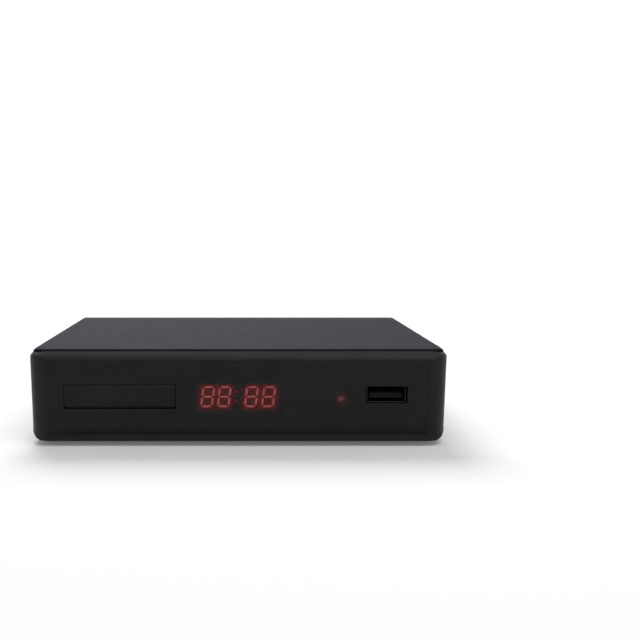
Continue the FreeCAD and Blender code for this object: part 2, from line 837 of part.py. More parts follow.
def make_switch_covers():
    """Thin steel plate on the front of each switch."""
    plates = []
    front = front_board_depth - switch_height
    for x in button_centres:
        low = button_height - switch_size / 2
        plate = centred_block(x, switch_size, front, front + switch_cover_thickness,
                              low, low + switch_size)
        hole = rod_y(x, button_height, stem_radius + pin_gap, front - over, front_board_depth)
        plates.append(plate.cut(hole))
    return group(plates)


def make_front_board():
    board = block(-front_board_half, front_board_half, front_board_depth, front_board_back,
                  front_board_bottom, front_board_top)
    holes = [rod_y(x, h, m2_hole, 0, front_board_back + over) for x, h in front_screw_places()]
    return board.cut(holes)


def make_front_board_screws():
    one = screw(m2_head_radius, m2_head_height, m2_radius, front_screw_length)
    places = front_screw_places()
    return group([placed(one, x, front_board_back, h, V(0, 1, 0)) for x, h in places])


def slanted(x, height, centre_x, centre_height):
    """Point of a digit leaning to the right by the slant angle."""
    lean = math.tan(math.radians(digit_slant)) * (height - centre_height)
    return V(centre_x + x + lean, 0, z_at(height))


def bar_points(kind, centre_x, centre_height):
    """Six-cornered outline of one segment; kind is (along, side x, side height)."""
    along, side_x, side_h = kind
    half_w = (digit_width - digit_stroke) / 2
    half_h = (digit_height - digit_stroke) / 4
    tip = digit_stroke / 2
    if along == "x":
        reach = half_w - digit_gap
        cx, ch = 0.0, centre_height + side_h * 2 * half_h
        raw = [
            (-reach, 0), (-reach + tip, tip), (reach - tip, tip),
            (reach, 0), (reach - tip, -tip), (-reach + tip, -tip),
        ]
    else:
        reach = half_h - digit_gap
        cx, ch = side_x * half_w, centre_height + side_h * half_h
        raw = [
            (0, -reach), (-tip, -reach + tip), (-tip, reach - tip),
            (0, reach), (tip, reach - tip), (tip, -reach + tip),
        ]
    return [slanted(cx + x, ch + h, centre_x, centre_height) for x, h in raw]


segment_kinds = (
    ("x", 0, 1), ("x", 0, 0), ("x", 0, -1),
    ("z", -1, 1), ("z", 1, 1), ("z", -1, -1), ("z", 1, -1),
)


def segment_solids():
    """Every lit bar of the four digits, and the colon's two dots."""
    front = display_front - segment_proud
    solids = []
    for centre_x in digit_centres:
        for kind in segment_kinds:
            points = bar_points(kind, centre_x, display_centre_height)
            flat = [V(p.x, y_at(front), p.z) for p in points]
            solids.append(prism(flat, V(0, segment_depth, 0)))
    for side in (-1, 1):
        dot = slanted(0, display_centre_height + side * colon_spread, colon_x, display_centre_height)
        start = V(dot.x, y_at(front), dot.z)
        solids.append(Part.makeCylinder(colon_dot_radius, segment_depth, start, V(0, 1, 0)))
    return solids


def make_display_housing():
    low = display_centre_height - display_height / 2
    body = centred_block(0, display_width, display_front, front_board_depth, low, low + display_height)
    return body.cut(segment_solids())


def make_display_segments():
    return group(segment_solids())


def led_back():
    return led_tip + led_length


def make_standby_led():
    """Round lamp: domed tip, barrel and a foot flange on its spacer."""
    dome_centre = led_tip + led_radius
    back = led_back()
    dome = Part.makeSphere(led_radius, V(led_x, y_at(dome_centre), z_at(led_height)))
    barrel = rod_y(led_x, led_height, led_radius, dome_centre, back)
    flange = rod_y(led_x, led_height, led_flange_radius, back - led_flange_thickness, back)
    return joined([dome, barrel, flange])


def make_led_spacer():
    return rod_y(led_x, led_height, led_flange_radius, led_back(), front_board_depth)


def make_infrared_receiver():
    """Dark epoxy block with a domed lens, on the front board."""
    low = infrared_height - infrared_tall / 2
    body = centred_block(infrared_x, infrared_width, infrared_front, front_board_depth,
                         low, low + infrared_tall)
    centre = V(infrared_x, y_at(infrared_front), z_at(infrared_height))
    return joined([body, Part.makeSphere(infrared_lens_radius, centre)])


def usb_tongue_low():
    return usb_centre_height - usb_shell_height / 2 + usb_shell_wall + usb_tongue_gap


def make_usb_shell():
    outer = rounded_slot(usb_centre_x, usb_centre_height, usb_shell_width, usb_shell_height,
                         usb_slot_radius, usb_shell_front, front_board_depth)
    walls = 2 * usb_shell_wall
    inner = rounded_slot(usb_centre_x, usb_centre_height, usb_shell_width - walls, usb_shell_height - walls,
                         usb_slot_radius - usb_shell_wall, usb_shell_front - over, front_board_depth + over)
    return outer.cut(inner)


def make_usb_tongue():
    """Tongue on its insulating block at the back of the shell."""
    low = usb_tongue_low()
    block_front = front_board_depth - usb_insulator_depth
    tongue = centred_block(usb_centre_x, usb_tongue_width, usb_tongue_front, front_board_depth,
                           low, low + usb_tongue_thickness)
    inset = usb_shell_wall + fit_gap / 2
    half_h = usb_shell_height / 2 - inset
    back_block = centred_block(usb_centre_x, usb_shell_width - 2 * inset, block_front, front_board_depth,
                               usb_centre_height - half_h, usb_centre_height + half_h)
    return joined([tongue, back_block])


def make_usb_contacts():
    """Flat contacts on the upper side of the tongue."""
    low = usb_tongue_low() + usb_tongue_thickness
    first = usb_centre_x - (usb_contact_count - 1) * usb_contact_pitch / 2
    back = front_board_depth - usb_insulator_depth
    strips = []
    for i in range(usb_contact_count):
        x = first + i * usb_contact_pitch
        strips.append(centred_block(x, usb_contact_width, usb_tongue_front + usb_contact_start, back,
                                    low, low + usb_contact_thickness))
    return group(strips)


def make_front_header():
    low = ribbon_height - header_height / 2
    return centred_block(header_x, header_width, front_board_back, front_board_back + header_depth,
                         low, low + header_height)


def make_main_header():
    return centred_block(header_x, header_width, main_header_depth - header_depth / 2,
                         main_header_depth + header_depth / 2, board_top, board_top + header_height)


def make_front_ribbon():
    """Flat cable: straight up out of the main header, one bend, straight into the front header."""
    half = ribbon_thickness / 2
    x = ribbon_x - ribbon_width / 2
    low = board_top + header_height
    start_bend = low + ribbon_rise
    end = front_board_back + header_depth
    turn = main_header_depth - ribbon_bend
    centre = V(x, y_at(turn), z_at(start_bend))
    outer = ribbon_bend + half
    inner = ribbon_bend - half
    u = V(0, 1, 0)
    w = V(0, 0, 1)
    z_up = z_at(start_bend)
    edges = [
        line(V(x, y_at(turn + outer), z_at(low)), V(x, y_at(turn + outer), z_up)),
        arc_edge(centre, outer, 0, 90, u, w),
        line(V(x, y_at(turn), z_up + outer), V(x, y_at(end), z_up + outer)),
        line(V(x, y_at(end), z_up + outer), V(x, y_at(end), z_up + inner)),
        line(V(x, y_at(end), z_up + inner), V(x, y_at(turn), z_up + inner)),
        arc_edge(centre, inner, 90, 0, u, w),
        line(V(x, y_at(turn + inner), z_up), V(x, y_at(turn + inner), z_at(low))),
        line(V(x, y_at(turn + inner), z_at(low)), V(x, y_at(turn + outer), z_at(low))),
    ]
    return Part.Face(Part.Wire(edges)).extrude(V(ribbon_width, 0, 0))


# ---------------------------------------------------------------- main board
def board_screw_places():
    """Three columns of screws; the rear row stays in front of the sockets."""
    return [(x, depth) for x in board_screw_x for depth in board_screw_depths]


def make_main_board():
    board = block(-board_half, board_half, main_board_front, board_rear, board_underside, board_top)
    return board.cut([rod_z(x, d, m3_hole, 0, board_top + over) for x, d in board_screw_places()])


def make_board_standoffs():
    stands = []
    hole_bottom = board_top - board_screw_length - fit_gap
    for x, d in board_screw_places():
        stand = rod_z(x, d, standoff_radius, base_thickness, board_underside)
        stands.append(stand.cut(rod_z(x, d, m3_radius + pin_gap, hole_bottom, board_top)))
    return group(stands)


def make_main_board_screws():
    one = screw(m3_head_radius, m3_head_height, m3_radius, board_screw_length)
    return group([placed(one, x, d, board_top, V(0, 0, 1)) for x, d in board_screw_places()])


def board_place(side, inset, before_tuner):
    """x and depth of a part placed from the board's left edge, middle or right edge."""
    return side * board_half + (inset if side == 0 else -side * inset), tuner_front - before_tuner


def on_board(x, depth, width, length, height):
    """Block standing on the main board, centred on x and depth."""
    return centred_block(x, width, depth - length / 2, depth + length / 2, board_top, board_top + height)


def make_processor():
    return on_board(processor_x, processor_depth, processor_size, processor_size, processor_height)


def make_heatsink():
    """Base plate and upright fins, glued on the processor."""
    low = board_top + processor_height
    half = heatsink_size / 2
    base = centred_block(processor_x, heatsink_size, processor_depth - half, processor_depth + half,
                         low, low + heatsink_base)
    pitch = (heatsink_size - heatsink_fin_thickness) / (heatsink_fin_count - 1)
    shapes = [base]
    for i in range(heatsink_fin_count):
        x = processor_x - half + i * pitch
        shapes.append(block(x, x + heatsink_fin_thickness, processor_depth - half, processor_depth + half,
                            low + heatsink_base, low + heatsink_base + heatsink_fin_height))
    return joined(shapes)


def make_memory_chip():
    return on_board(memory_x, memory_depth, memory_width, memory_length, memory_height)


def make_flash_chip():
    return on_board(memory_x, flash_depth, flash_width, flash_length, flash_height)


def make_crystal():
    """Metal can with rounded ends."""
    side = (crystal_length - crystal_width) / 2
    radius = crystal_width / 2
    top = board_top + crystal_height
    middle = on_board(crystal_x, crystal_depth, 2 * side, crystal_width, crystal_height)
    ends = [rod_z(crystal_x + s * side, crystal_depth, radius, board_top, top) for s in (-1, 1)]
    return joined([middle] + ends)


def make_regulator():
    """Power transistor package: body with its metal tab in front."""
    body = on_board(regulator_x, regulator_depth, regulator_width, regulator_length, regulator_height)
    tab_depth = regulator_depth - (regulator_length + regulator_tab_length) / 2
    tab = on_board(regulator_x, tab_depth, regulator_tab_width, regulator_tab_length,
                   regulator_tab_thickness)
    return joined([body, tab])


def make_capacitors():
    """Electrolytic cans with the groove near the foot."""
    cans = []
    for side, inset, before_tuner, radius, height in capacitor_places:
        x, depth = board_place(side, inset, before_tuner)
        can = rod_z(x, depth, radius, board_top, board_top + height)
        low = board_top + capacitor_groove_height
        ring = rod_z(x, depth, 2 * radius, low, low + capacitor_groove_width)
        ring = ring.cut(rod_z(x, depth, radius - capacitor_groove_depth, board_top, board_top + height))
        cans.append(can.cut(ring))
    return group(cans)


def make_power_inductors():
    """Square shielded coils with a round core showing on top."""
    coils = []
    for place in inductor_places:
        x, depth = board_place(*place)
        body = on_board(x, depth, inductor_size, inductor_size, inductor_height)
        low = board_top + inductor_height - inductor_groove
        high = board_top + inductor_height
        ring = rod_z(x, depth, inductor_core_radius + inductor_groove, low, high)
        ring = ring.cut(rod_z(x, depth, inductor_core_radius, low, high))
        coils.append(body.cut(ring))
    return group(coils)


# ---------------------------------------------------------------- tuner and its F connectors
def f_centres():
    return [tuner_x - f_spread / 2, tuner_x + f_spread / 2]


def make_tuner_can():
    """Screened box, open at the top under its lid; the F connectors go through its back wall."""
    wall = tuner_wall
    top = board_top + tuner_height
    back_wall = tuner_back - wall
    outer = centred_block(tuner_x, tuner_width, tuner_front, tuner_back, board_top, top - wall)
    inner = centred_block(tuner_x, tuner_width - 2 * wall, tuner_front + wall, back_wall,
                          board_top + wall, top)
    height = board_top + f_height
    holes = [rod_y(x, height, f_bore, back_wall - over, tuner_back + over) for x in f_centres()]
    return outer.cut([inner] + holes)


def make_tuner_lid():
    """Flat lid with a short skirt outside the can on three sides."""
    front = tuner_front - pin_gap
    top = board_top + tuner_height
    low = top - tuner_lid_skirt
    inside = tuner_width + 2 * pin_gap
    lid = centred_block(tuner_x, inside + 2 * tuner_wall, front - tuner_wall, tuner_back, low, top)
    hollow = centred_block(tuner_x, inside, front, tuner_back + over, low - over, top - tuner_wall)
    return lid.cut(hollow)


def make_f_barrels():
    """Threaded barrels: a round flange inside the rear panel, and a relief groove just outside the nut."""
    barrels = []
    h = board_top + f_height
    start = tuner_back
    tip = case_depth + connector_reach
    groove = rear_outer + f_washer_thickness + f_nut_thickness
    for x in f_centres():
        flange = rod_y(x, h, f_flange_radius, start, start + f_flange_thickness)
        inner_barrel = rod_y(x, h, f_radius, start, groove)
        core = rod_y(x, h, f_radius - f_relief_depth, start, tip)
        outer_barrel = rod_y(x, h, f_radius, groove + f_relief_width, tip)
        bore = rod_y(x, h, f_bore, tip - f_bore_depth, tip + over)
        barrels.append(joined([flange, inner_barrel, core, outer_barrel]).cut(bore))
    return group(barrels)


def make_f_insulators():
    tip = case_depth + connector_reach
    plugs = []
    for x in f_centres():
        h = board_top + f_height
        plug = rod_y(x, h, f_bore, tip - f_bore_depth, tip - f_insulator_set_back)
        plugs.append(plug.cut(rod_y(x, h, f_contact_radius, tip - f_contact_depth, tip)))
    return group(plugs)


def make_f_nuts():
    """Hexagon nuts on the washers."""
    start = rear_outer + f_washer_thickness
    end = start + f_nut_thickness
    height = board_top + f_height
    corner = f_nut_flats / math.sqrt(3)
    nuts = []
    for x in f_centres():
        points = []
        for i in range(6):
            angle = math.radians(60 * i)
            across = corner * math.cos(angle)
            points.append(V(x + across, y_at(start), z_at(height) + corner * math.sin(angle)))
        nut = prism(points, V(0, f_nut_thickness, 0))
        nuts.append(nut.cut(rod_y(x, height, f_radius + pin_gap, start - over, end + over)))
    return group(nuts)


def make_f_washers():
    height = board_top + f_height
    rings = []
    for x in f_centres():
        ring = rod_y(x, height, f_washer_radius, rear_outer, rear_outer + f_washer_thickness)
        rings.append(ring.cut(rod_y(x, height, f_radius + pin_gap, rear_inner, case_depth + over)))
    return group(rings)


# ---------------------------------------------------------------- other sockets
def keyed_outline(x, width, low, height, key, shrink, d0, d1):
    """Bar along Y whose two lower corners are cut off, as an AV socket's mouth."""
    left = x - width / 2 + shrink
    right = x + width / 2 - shrink
    bottom = low + shrink
    top = low + height - shrink
    points = [
        (left + key, bottom), (right - key, bottom), (right, bottom + key),
        (right, top), (left, top), (left, bottom + key),
    ]
    return prism([V(px, y_at(d0), z_at(ph)) for px, ph in points], V(0, d1 - d0, 0))


def scart_mouth():
    low = board_top + (scart_height - scart_mouth_height) / 2
    return low, rear_outer + scart_proud


def make_scart_housing():
    """Moulded block with a keyed mouth round a core that holds two rows of slots."""
    low, face = scart_mouth()
    body = centred_block(scart_x, scart_width, face - scart_depth, face, board_top, board_top + scart_height)
    floor = face - scart_mouth_depth
    mouth = keyed_outline(scart_x, scart_mouth_width, low, scart_mouth_height, scart_key, 0,
                          floor, face + over)
    middle = low + scart_mouth_height / 2
    core = centred_block(scart_x, scart_core_width, floor - over, face - scart_core_set_back,
                         middle - scart_core_height / 2, middle + scart_core_height / 2)
    return joined([body.cut(mouth), core]).cut([slot for slot, blade in scart_slots()])


def scart_slots():
    """Pairs of slot and contact blade, in two staggered rows."""
    low, face = scart_mouth()
    middle = low + scart_mouth_height / 2
    start = face - scart_core_set_back - scart_slot_depth
    pairs = []
    for row in (-1, 1):
        shift = row * scart_slot_pitch / 4
        for i in range(scart_slot_count):
            x = scart_x + shift + (i - (scart_slot_count - 1) / 2) * scart_slot_pitch
            bottom = middle + row * scart_row_spread - scart_slot_height / 2
            top = bottom + scart_slot_height
            slot = centred_block(x, scart_slot_length, start, face, bottom, top)
            blade = centred_block(x, scart_blade, start, face - 2 * scart_core_set_back, bottom, top)
            pairs.append((slot, blade))
    return pairs


def make_scart_contacts():
    return group([blade for slot, blade in scart_slots()])


def make_hdmi_shell():
    face = rear_outer + hdmi_proud
    outer = keyed_outline(hdmi_x, hdmi_width, board_top, hdmi_height, hdmi_key, 0, face - hdmi_depth, face)
    inner = keyed_outline(hdmi_x, hdmi_width, board_top, hdmi_height, hdmi_key, hdmi_wall,
                          face - hdmi_depth - over, face + over)
    return outer.cut(inner)


def make_hdmi_tongue():
    """Tongue standing out of the block that closes the back of the shell."""
    face = rear_outer + hdmi_proud
    back = face - hdmi_depth
    shrink = hdmi_wall + fit_gap / 2
    rear_block = keyed_outline(hdmi_x, hdmi_width, board_top, hdmi_height, hdmi_key, shrink,
                               back, back + hdmi_block_depth)
    low = board_top + hdmi_tongue_height
    tongue = centred_block(hdmi_x, hdmi_tongue_width, back, back + hdmi_block_depth + hdmi_tongue_length,
                           low, low + hdmi_tongue_thickness)
    return joined([rear_block, tongue])


def make_coax_housing():
    """Block behind the panel, bored for the barrel."""
    back = rear_inner - fit_gap
    front = back - coax_block_depth
    low = board_top
    body = centred_block(coax_x, coax_block, front, back, low, low + coax_height + coax_block / 2)
    return body.cut(rod_y(coax_x, board_top + coax_height, coax_radius, back - coax_socket, back + over))


def make_coax_barrel():
    start = rear_inner - fit_gap - coax_socket
    tip = rear_outer + coax_reach
    h = board_top + coax_height
    tube = rod_y(coax_x, h, coax_radius, start, tip)
    collar = rod_y(coax_x, h, coax_collar_radius, rear_outer + pin_gap, rear_outer + coax_collar_thickness)
    return joined([tube, collar]).cut(rod_y(coax_x, h, coax_radius - coax_wall, start - over, tip + over))


def make_coax_insulator():
    start = rear_inner - fit_gap - coax_socket
    tip = rear_outer + coax_reach - coax_insulator_set_back
    h = board_top + coax_height
    plug = rod_y(coax_x, h, coax_radius - coax_wall, start, tip)
    return plug.cut(rod_y(coax_x, h, coax_contact_radius, tip - coax_contact_depth, tip + over))


def make_power_inlet():
    """Direct-current inlet: block on the board with a round nose in the panel's hole."""
    back = rear_inner - fit_gap
    front = back - power_depth
    h = board_top + power_axis_height
    body = centred_block(power_x, power_width, front, back, board_top, board_top + power_height)
    nose = rod_y(power_x, h, power_nose_radius, back - over, rear_outer)
    bore = rod_y(power_x, h, power_bore, rear_outer - power_bore_depth, rear_outer + over)
    return joined([body, nose]).cut(bore)


def make_power_pin():
    start = rear_outer - power_bore_depth
    return rod_y(power_x, board_top + power_axis_height, power_pin_radius, start, start + power_pin_length)


# ---------------------------------------------------------------- all nodes
def all_nodes():
    nodes = {
        "top_cover": make_top_cover(),
        "base_chassis": make_base_chassis(),
        "rear_panel": make_rear_panel(),
        "rubber_feet": make_rubber_feet(),
        "cover_screws": make_cover_screws(),
        "rear_panel_screws": make_rear_panel_screws(),
        "bezel_screws": make_bezel_screws(),
        "front_bezel": make_front_bezel(),
        "front_window": make_front_window(),
        "control_flap": make_control_flap(),
        "flap_pins": make_flap_pins(),
        "tact_switches": make_tact_switches(),
        "switch_covers": make_switch_covers(),
        "front_board": make_front_board(),
        "front_board_screws": make_front_board_screws(),
        "display_housing": make_display_housing(),
        "display_segments": make_display_segments(),
        "standby_led": make_standby_led(),
        "led_spacer": make_led_spacer(),
        "infrared_receiver": make_infrared_receiver(),
        "usb_shell": make_usb_shell(),
        "usb_tongue": make_usb_tongue(),
        "usb_contacts": make_usb_contacts(),
        "front_header": make_front_header(),
        "main_header": make_main_header(),
        "front_ribbon": make_front_ribbon(),
        "main_board": make_main_board(),
        "board_standoffs": make_board_standoffs(),
        "main_board_screws": make_main_board_screws(),
        "processor": make_processor(),
        "heatsink": make_heatsink(),
        "memory_chip": make_memory_chip(),
        "flash_chip": make_flash_chip(),
        "crystal": make_crystal(),
        "regulator": make_regulator(),
        "capacitors": make_capacitors(),
        "power_inductors": make_power_inductors(),
        "tuner_can": make_tuner_can(),
        "tuner_lid": make_tuner_lid(),
        "f_barrels": make_f_barrels(),
        "f_insulators": make_f_insulators(),
        "f_nuts": make_f_nuts(),
        "f_washers": make_f_washers(),
        "scart_housing": make_scart_housing(),
        "scart_contacts": make_scart_contacts(),
        "hdmi_shell": make_hdmi_shell(),
        "hdmi_tongue": make_hdmi_tongue(),
        "coax_housing": make_coax_housing(),
        "coax_barrel": make_coax_barrel(),
        "coax_insulator": make_coax_insulator(),
        "power_inlet": make_power_inlet(),
        "power_pin": make_power_pin(),
    }
    for name, x in zip(button_names, button_centres):
        nodes[name + "_button"] = make_button(x)
        nodes[name + "_stem"] = make_stem(x)
    return nodes


os.makedirs("parts", exist_ok=True)
for node_name, node_shape in all_nodes().items():
    node_shape.exportStep("parts/" + node_name + ".step")
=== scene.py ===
"""Satellite television receiver: pressed steel cover, moulded front with a smoked window, control flap,
lit clock display, USB socket, and a row of sockets at the back."""
import math

import bmesh
import bpy
import numpy as np
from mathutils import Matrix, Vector


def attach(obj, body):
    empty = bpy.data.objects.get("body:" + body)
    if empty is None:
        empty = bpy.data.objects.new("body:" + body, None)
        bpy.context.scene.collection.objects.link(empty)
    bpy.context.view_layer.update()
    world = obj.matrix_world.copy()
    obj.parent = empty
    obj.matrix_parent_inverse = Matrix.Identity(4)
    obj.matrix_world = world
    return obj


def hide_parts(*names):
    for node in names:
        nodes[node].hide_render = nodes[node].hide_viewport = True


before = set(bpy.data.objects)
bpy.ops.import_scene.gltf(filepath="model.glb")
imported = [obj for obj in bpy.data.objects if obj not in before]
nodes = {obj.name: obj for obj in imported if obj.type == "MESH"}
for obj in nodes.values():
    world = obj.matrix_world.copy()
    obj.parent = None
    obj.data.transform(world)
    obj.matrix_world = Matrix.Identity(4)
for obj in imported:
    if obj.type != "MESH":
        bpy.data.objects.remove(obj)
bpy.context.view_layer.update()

# ---------------------------------------------------------------- sizes, in millimetres
# A place is x, a depth behind the front face, and a height above the bezel's underside.
MM = 0.001
face_y = -50.25
foot_height = 1.3
case_depth = 90.0
least_radius = 0.001          # of a corner that is drawn sharp
overlap = 0.1                 # by which one shell of a piece reaches into the next

# moulded front: width over the bezel, its rounds, its lower rail and the seam's rim
bezel_half = 70.5
bezel_height = 30.7
bezel_side_depth = 8.0
bezel_corner = 6.8
bezel_edge = 2.7              # upper corners seen from the front
bezel_low_edge = 4.0          # lower corners
top_edge_depth = 2.8          # face to the seam
top_edge_rise = 2.95
top_edge_slope = 35.0         # at the seam, degrees
bezel_bottom_radius = 2.8
rail_proud = 0.45
rail_crest = 0.85
rail_back = 2.55
rail_hollow = 1.8             # power by which it falls back to the face
seam_floor = bezel_height - 2.0
rim_half = bezel_half - 0.4
rim_front = 2.9
rim_corner = 5.0

# steel cover, and the vents in its sides
cover_half = 69.8
cover_top = bezel_height + 0.75
cover_thickness = 0.8
cover_bend = 2.2
cover_side_low = 0.8
cover_front = 3.2
cover_corner = 5.0
cover_cheek_back = 8.3
cover_lip_low = cover_top - 6.6
cover_lip_radius = 1.2
cover_roll = 5.0              # how far back its front edge is drawn down
cover_roll_drop = 0.16
cover_roll_power = 2.5
cover_edge = 0.12             # round on the sheet's cut edges
cover_sheet_end = 88.8
vent_rows_start = 9.5
vent_first = 32.0
vent_pitch = 4.2
vent_width = 1.8
vent_count = 12
vent_low = 9.0
vent_high = 21.0

# smoked window, and the wall behind it
window_half = 63.4
window_low = 3.0
window_high = bezel_height - 3.2
window_thickness = 1.96
window_joint = 0.05
window_back = 2.0
window_edge = 0.03
window_corner = 0.3
wall_back = 3.5
wall_overlap = 0.6
wall_edge = 0.1

# flap, and the pocket behind it
flap_left = -58.2
flap_right = flap_left + 37.2
flap_low = 11.7
flap_high = flap_low + 8.0
flap_proud = 0.5
flap_back = 1.3
flap_bevel = 0.35
flap_corner = 0.15
barrel_radius = 1.5
flap_gap = 0.12
pocket_wall = 1.33
pocket_depth = 6.4
pocket_floor = 1.0
pocket_edge = 0.08

# buttons in the pocket
button_centres = (-52.0, -40.0, -28.0)
button_names = ("standby_button", "channel_down_button", "channel_up_button")
button_bodies = ("standby", "channel_down", "channel_up")
button_height = (flap_low + flap_high) / 2
button_width = 8.0
button_tall = 3.8
button_front = 5.8
button_corner = 0.6
button_gap = 0.15
button_edge = 0.3
button_flange = 0.6
flange_front = 7.5
flange_back = 8.0
flange_edge = 0.05
flange_corner = 0.3

# USB socket and the front board that carries it
usb_x = 49.5
usb_height = 16.5
usb_slot = (13.9, 5.9)
usb_corner = 0.6
usb_shell = (13.1, 5.7)
usb_shell_wall = 0.3
usb_shell_front = 0.9
usb_shell_edge = 0.06
front_board_depth = 12.4
usb_tongue_width = 11.1
usb_tongue_thickness = 1.9
usb_tongue_low = usb_height - usb_shell[1] / 2 + usb_shell_wall + 0.8
usb_tongue_front = 2.2
usb_tongue_corner = 0.25
usb_tongue_edge = 0.2
usb_root_gap = 0.4
usb_root_length = 2.2
usb_root_corner = 0.3
usb_root_edge = 0.1

# clock display, lamp and infrared opening
display_height = 14.9
display_view = (28.6, 9.8)
display_view_corner = 0.2
display_width = 30.2
display_tall = 10.6
display_front = 3.8
digit_tall = 7.6
digit_width = 4.6
digit_stroke = 0.95
digit_slant = 7.0
digit_gap = 0.14
digit_centres = (-10.4, -4.8, 4.4, 10.2)
colon_x = -0.5
colon_dot_radius = 0.55
colon_spread = 1.7
segment_front = 3.75
segment_back = 4.95
segment_edge = 0.06
led_x = 34.6
led_height = 14.4
led_radius = 1.5
led_tip = 2.6
led_back = 7.6
led_flange_radius = 1.9
led_flange_height = 1.0
led_hole_gap = 0.2
infrared_x = 23.2
infrared_height = 14.4
infrared_hole = 2.2

# skirt of the front, inside the cover
skirt_half = 68.8
skirt_top = bezel_height - 0.55
skirt_bottom = 1.0
skirt_end = 13.6
skirt_corner = 1.4
skirt_wall = 1.5
cavity_half = skirt_half - skirt_wall
cavity_top = skirt_top - skirt_wall
cavity_bottom = skirt_bottom + skirt_wall
cavity_corner = 0.3

# feet
foot_radius = 6.0
foot_edge = 0.4
foot_rim = 1.6
foot_dish = 0.3
foot_dish_radii = (3.8, 2.0)
foot_places = ((-57.8, 20.0), (57.8, 20.0), (-57.8, 78.0), (57.8, 78.0))

# aerial connectors, with their washers and nuts
board_top = 6.4
rear_outer = 89.2
running_gap = 0.04
connector_height = board_top + 6.5
connector_tip = 101.0
connector_radius = 4.76
connector_bore = 3.4
connector_bore_front = 91.0
connector_flange_radius = 6.0
connector_flange_front = 87.2
connector_flange_back = 88.2
connector_flange_bore = 3.5
connector_tip_bevel = 0.35
connector_bore_bevel = 0.15
connector_places = (39.0, 56.0)
thread_pitch = 0.794
thread_depth = 0.28
thread_start = 93.7
thread_end = connector_tip - 0.3
thread_fade = 0.6
thread_slope = 2.6            # of the thread's flank, per pitch
groove_depth = 0.4
groove_start = 92.9
washer_radius = 6.4
washer_thickness = 0.5
washer_edge = 0.12
nut_flats = 11.0
nut_thickness = 2.0
nut_start = rear_outer + washer_thickness
nut_end = nut_start + nut_thickness
nut_bore_bevel = 0.25
nut_face_inset = 0.04
nut_least_chamfer = 0.02
chamfer_slope = math.tan(math.radians(30))

# AV socket
scart_x = 3.0
scart_size = (52.0, 15.0)
scart_back = rear_outer + 0.6
scart_front = scart_back - 16.0
scart_floor = scart_back - 9.0
scart_mouth = (46.8, 11.6)
scart_key = 4.0
scart_core = (41.0, 6.2)
scart_core_back = scart_back - 0.8
scart_slot = (2.0, 1.6)
scart_slot_front = scart_core_back - 6.0
scart_slot_pitch = 3.81
scart_slot_count = 10
scart_row_spread = 1.55
scart_corner = 0.4
scart_key_corner = 0.5
scart_edge = 0.15
scart_core_corner = 0.3
scart_core_edge = 0.1
scart_slot_corner = 0.1
scart_root_edge = 0.02
scart_joint = 0.01

# digital picture socket
hdmi_x = -34.0
hdmi_size = (15.0, 5.9)
hdmi_key = 1.5
hdmi_wall = 0.4
hdmi_corner = 0.6
hdmi_edge = 0.1
key_shrink = 0.59             # of a cut-off corner, per millimetre that its sides are pulled in
hdmi_back = rear_outer + 0.3
hdmi_front = hdmi_back - 12.0

# coaxial sound socket
coax_x = -48.5
coax_height = board_top + 6.2
coax_radius = 4.15
coax_wall = 0.5
coax_front = 84.2
coax_tip = rear_outer + 8.5
coax_collar_radius = 4.9
coax_collar_start = rear_outer + 0.15
coax_collar_end = rear_outer + 0.8
coax_plug_tip = coax_tip - 0.5
coax_contact_radius = 1.6
coax_contact_depth = 8.0
coax_collar_edge = 0.1
coax_plug_bevel = 0.3
coax_countersink = 0.5

# power inlet
inlet_x = -59.2
inlet_size = (9.0, 11.0)
inlet_axis = board_top + 6.5
inlet_block_back = 88.2
inlet_block_front = inlet_block_back - 14.0
inlet_nose_radius = 4.0
inlet_bore = 3.15
inlet_bore_depth = 9.5
inlet_nose_overlap = 0.5
inlet_nose_bevel = 0.1
inlet_countersink = 0.3
inlet_block_corner = 0.3
inlet_block_edge = 0.1
inlet_pin_radius = 1.05
inlet_pin_length = 8.7


# ---------------------------------------------------------------- shapes
def at(x, depth, height):
    """Points of the frame from x, depth and height, in millimetres."""
    x, depth, height = np.broadcast_arrays(x, depth, height)
    return np.stack([x, face_y + depth, foot_height + height], axis=-1).astype(float)


def cells(rows, columns, wrap_rows=False, wrap_columns=False):
    """Four corner numbers of each cell of a grid; a wrapped side joins its last line to its first."""
    i = np.arange(rows if wrap_rows else rows - 1)[:, None]
    j = np.arange(columns if wrap_columns else columns - 1)[None, :]
    i2 = (i + 1) % rows
    j2 = (j + 1) % columns
    corners = [i * columns + j, i * columns + j2, i2 * columns + j2, i2 * columns + j]
    return np.stack(np.broadcast_arrays(*corners), axis=-1)


def skin(grid, keep=None):
    """Open surface from a grid of points; keep says which of its cells are there."""
    rows, columns = grid.shape[:2]
    quads = cells(rows, columns)
    if keep is not None:
        quads = quads[keep]
    return grid.reshape(-1, 3), quads.reshape(-1, 4).tolist()


def tower(rings):
    """Solid from closed rings of points, stacked in order, with flat ends."""
    count, points = rings.shape[:2]
    faces = cells(count, points, wrap_columns=True).reshape(-1, 4).tolist()
    last = (count - 1) * points
    faces.append(list(range(points)))
    faces.append(list(range(last, last + points)))
    return rings.reshape(-1, 3), faces


def tube(rings):
    """Ring-shaped solid: closed rings of points that also close on one another."""
    count, points = rings.shape[:2]
    faces = cells(count, points, wrap_rows=True, wrap_columns=True).reshape(-1, 4).tolist()
    return rings.reshape(-1, 3), faces


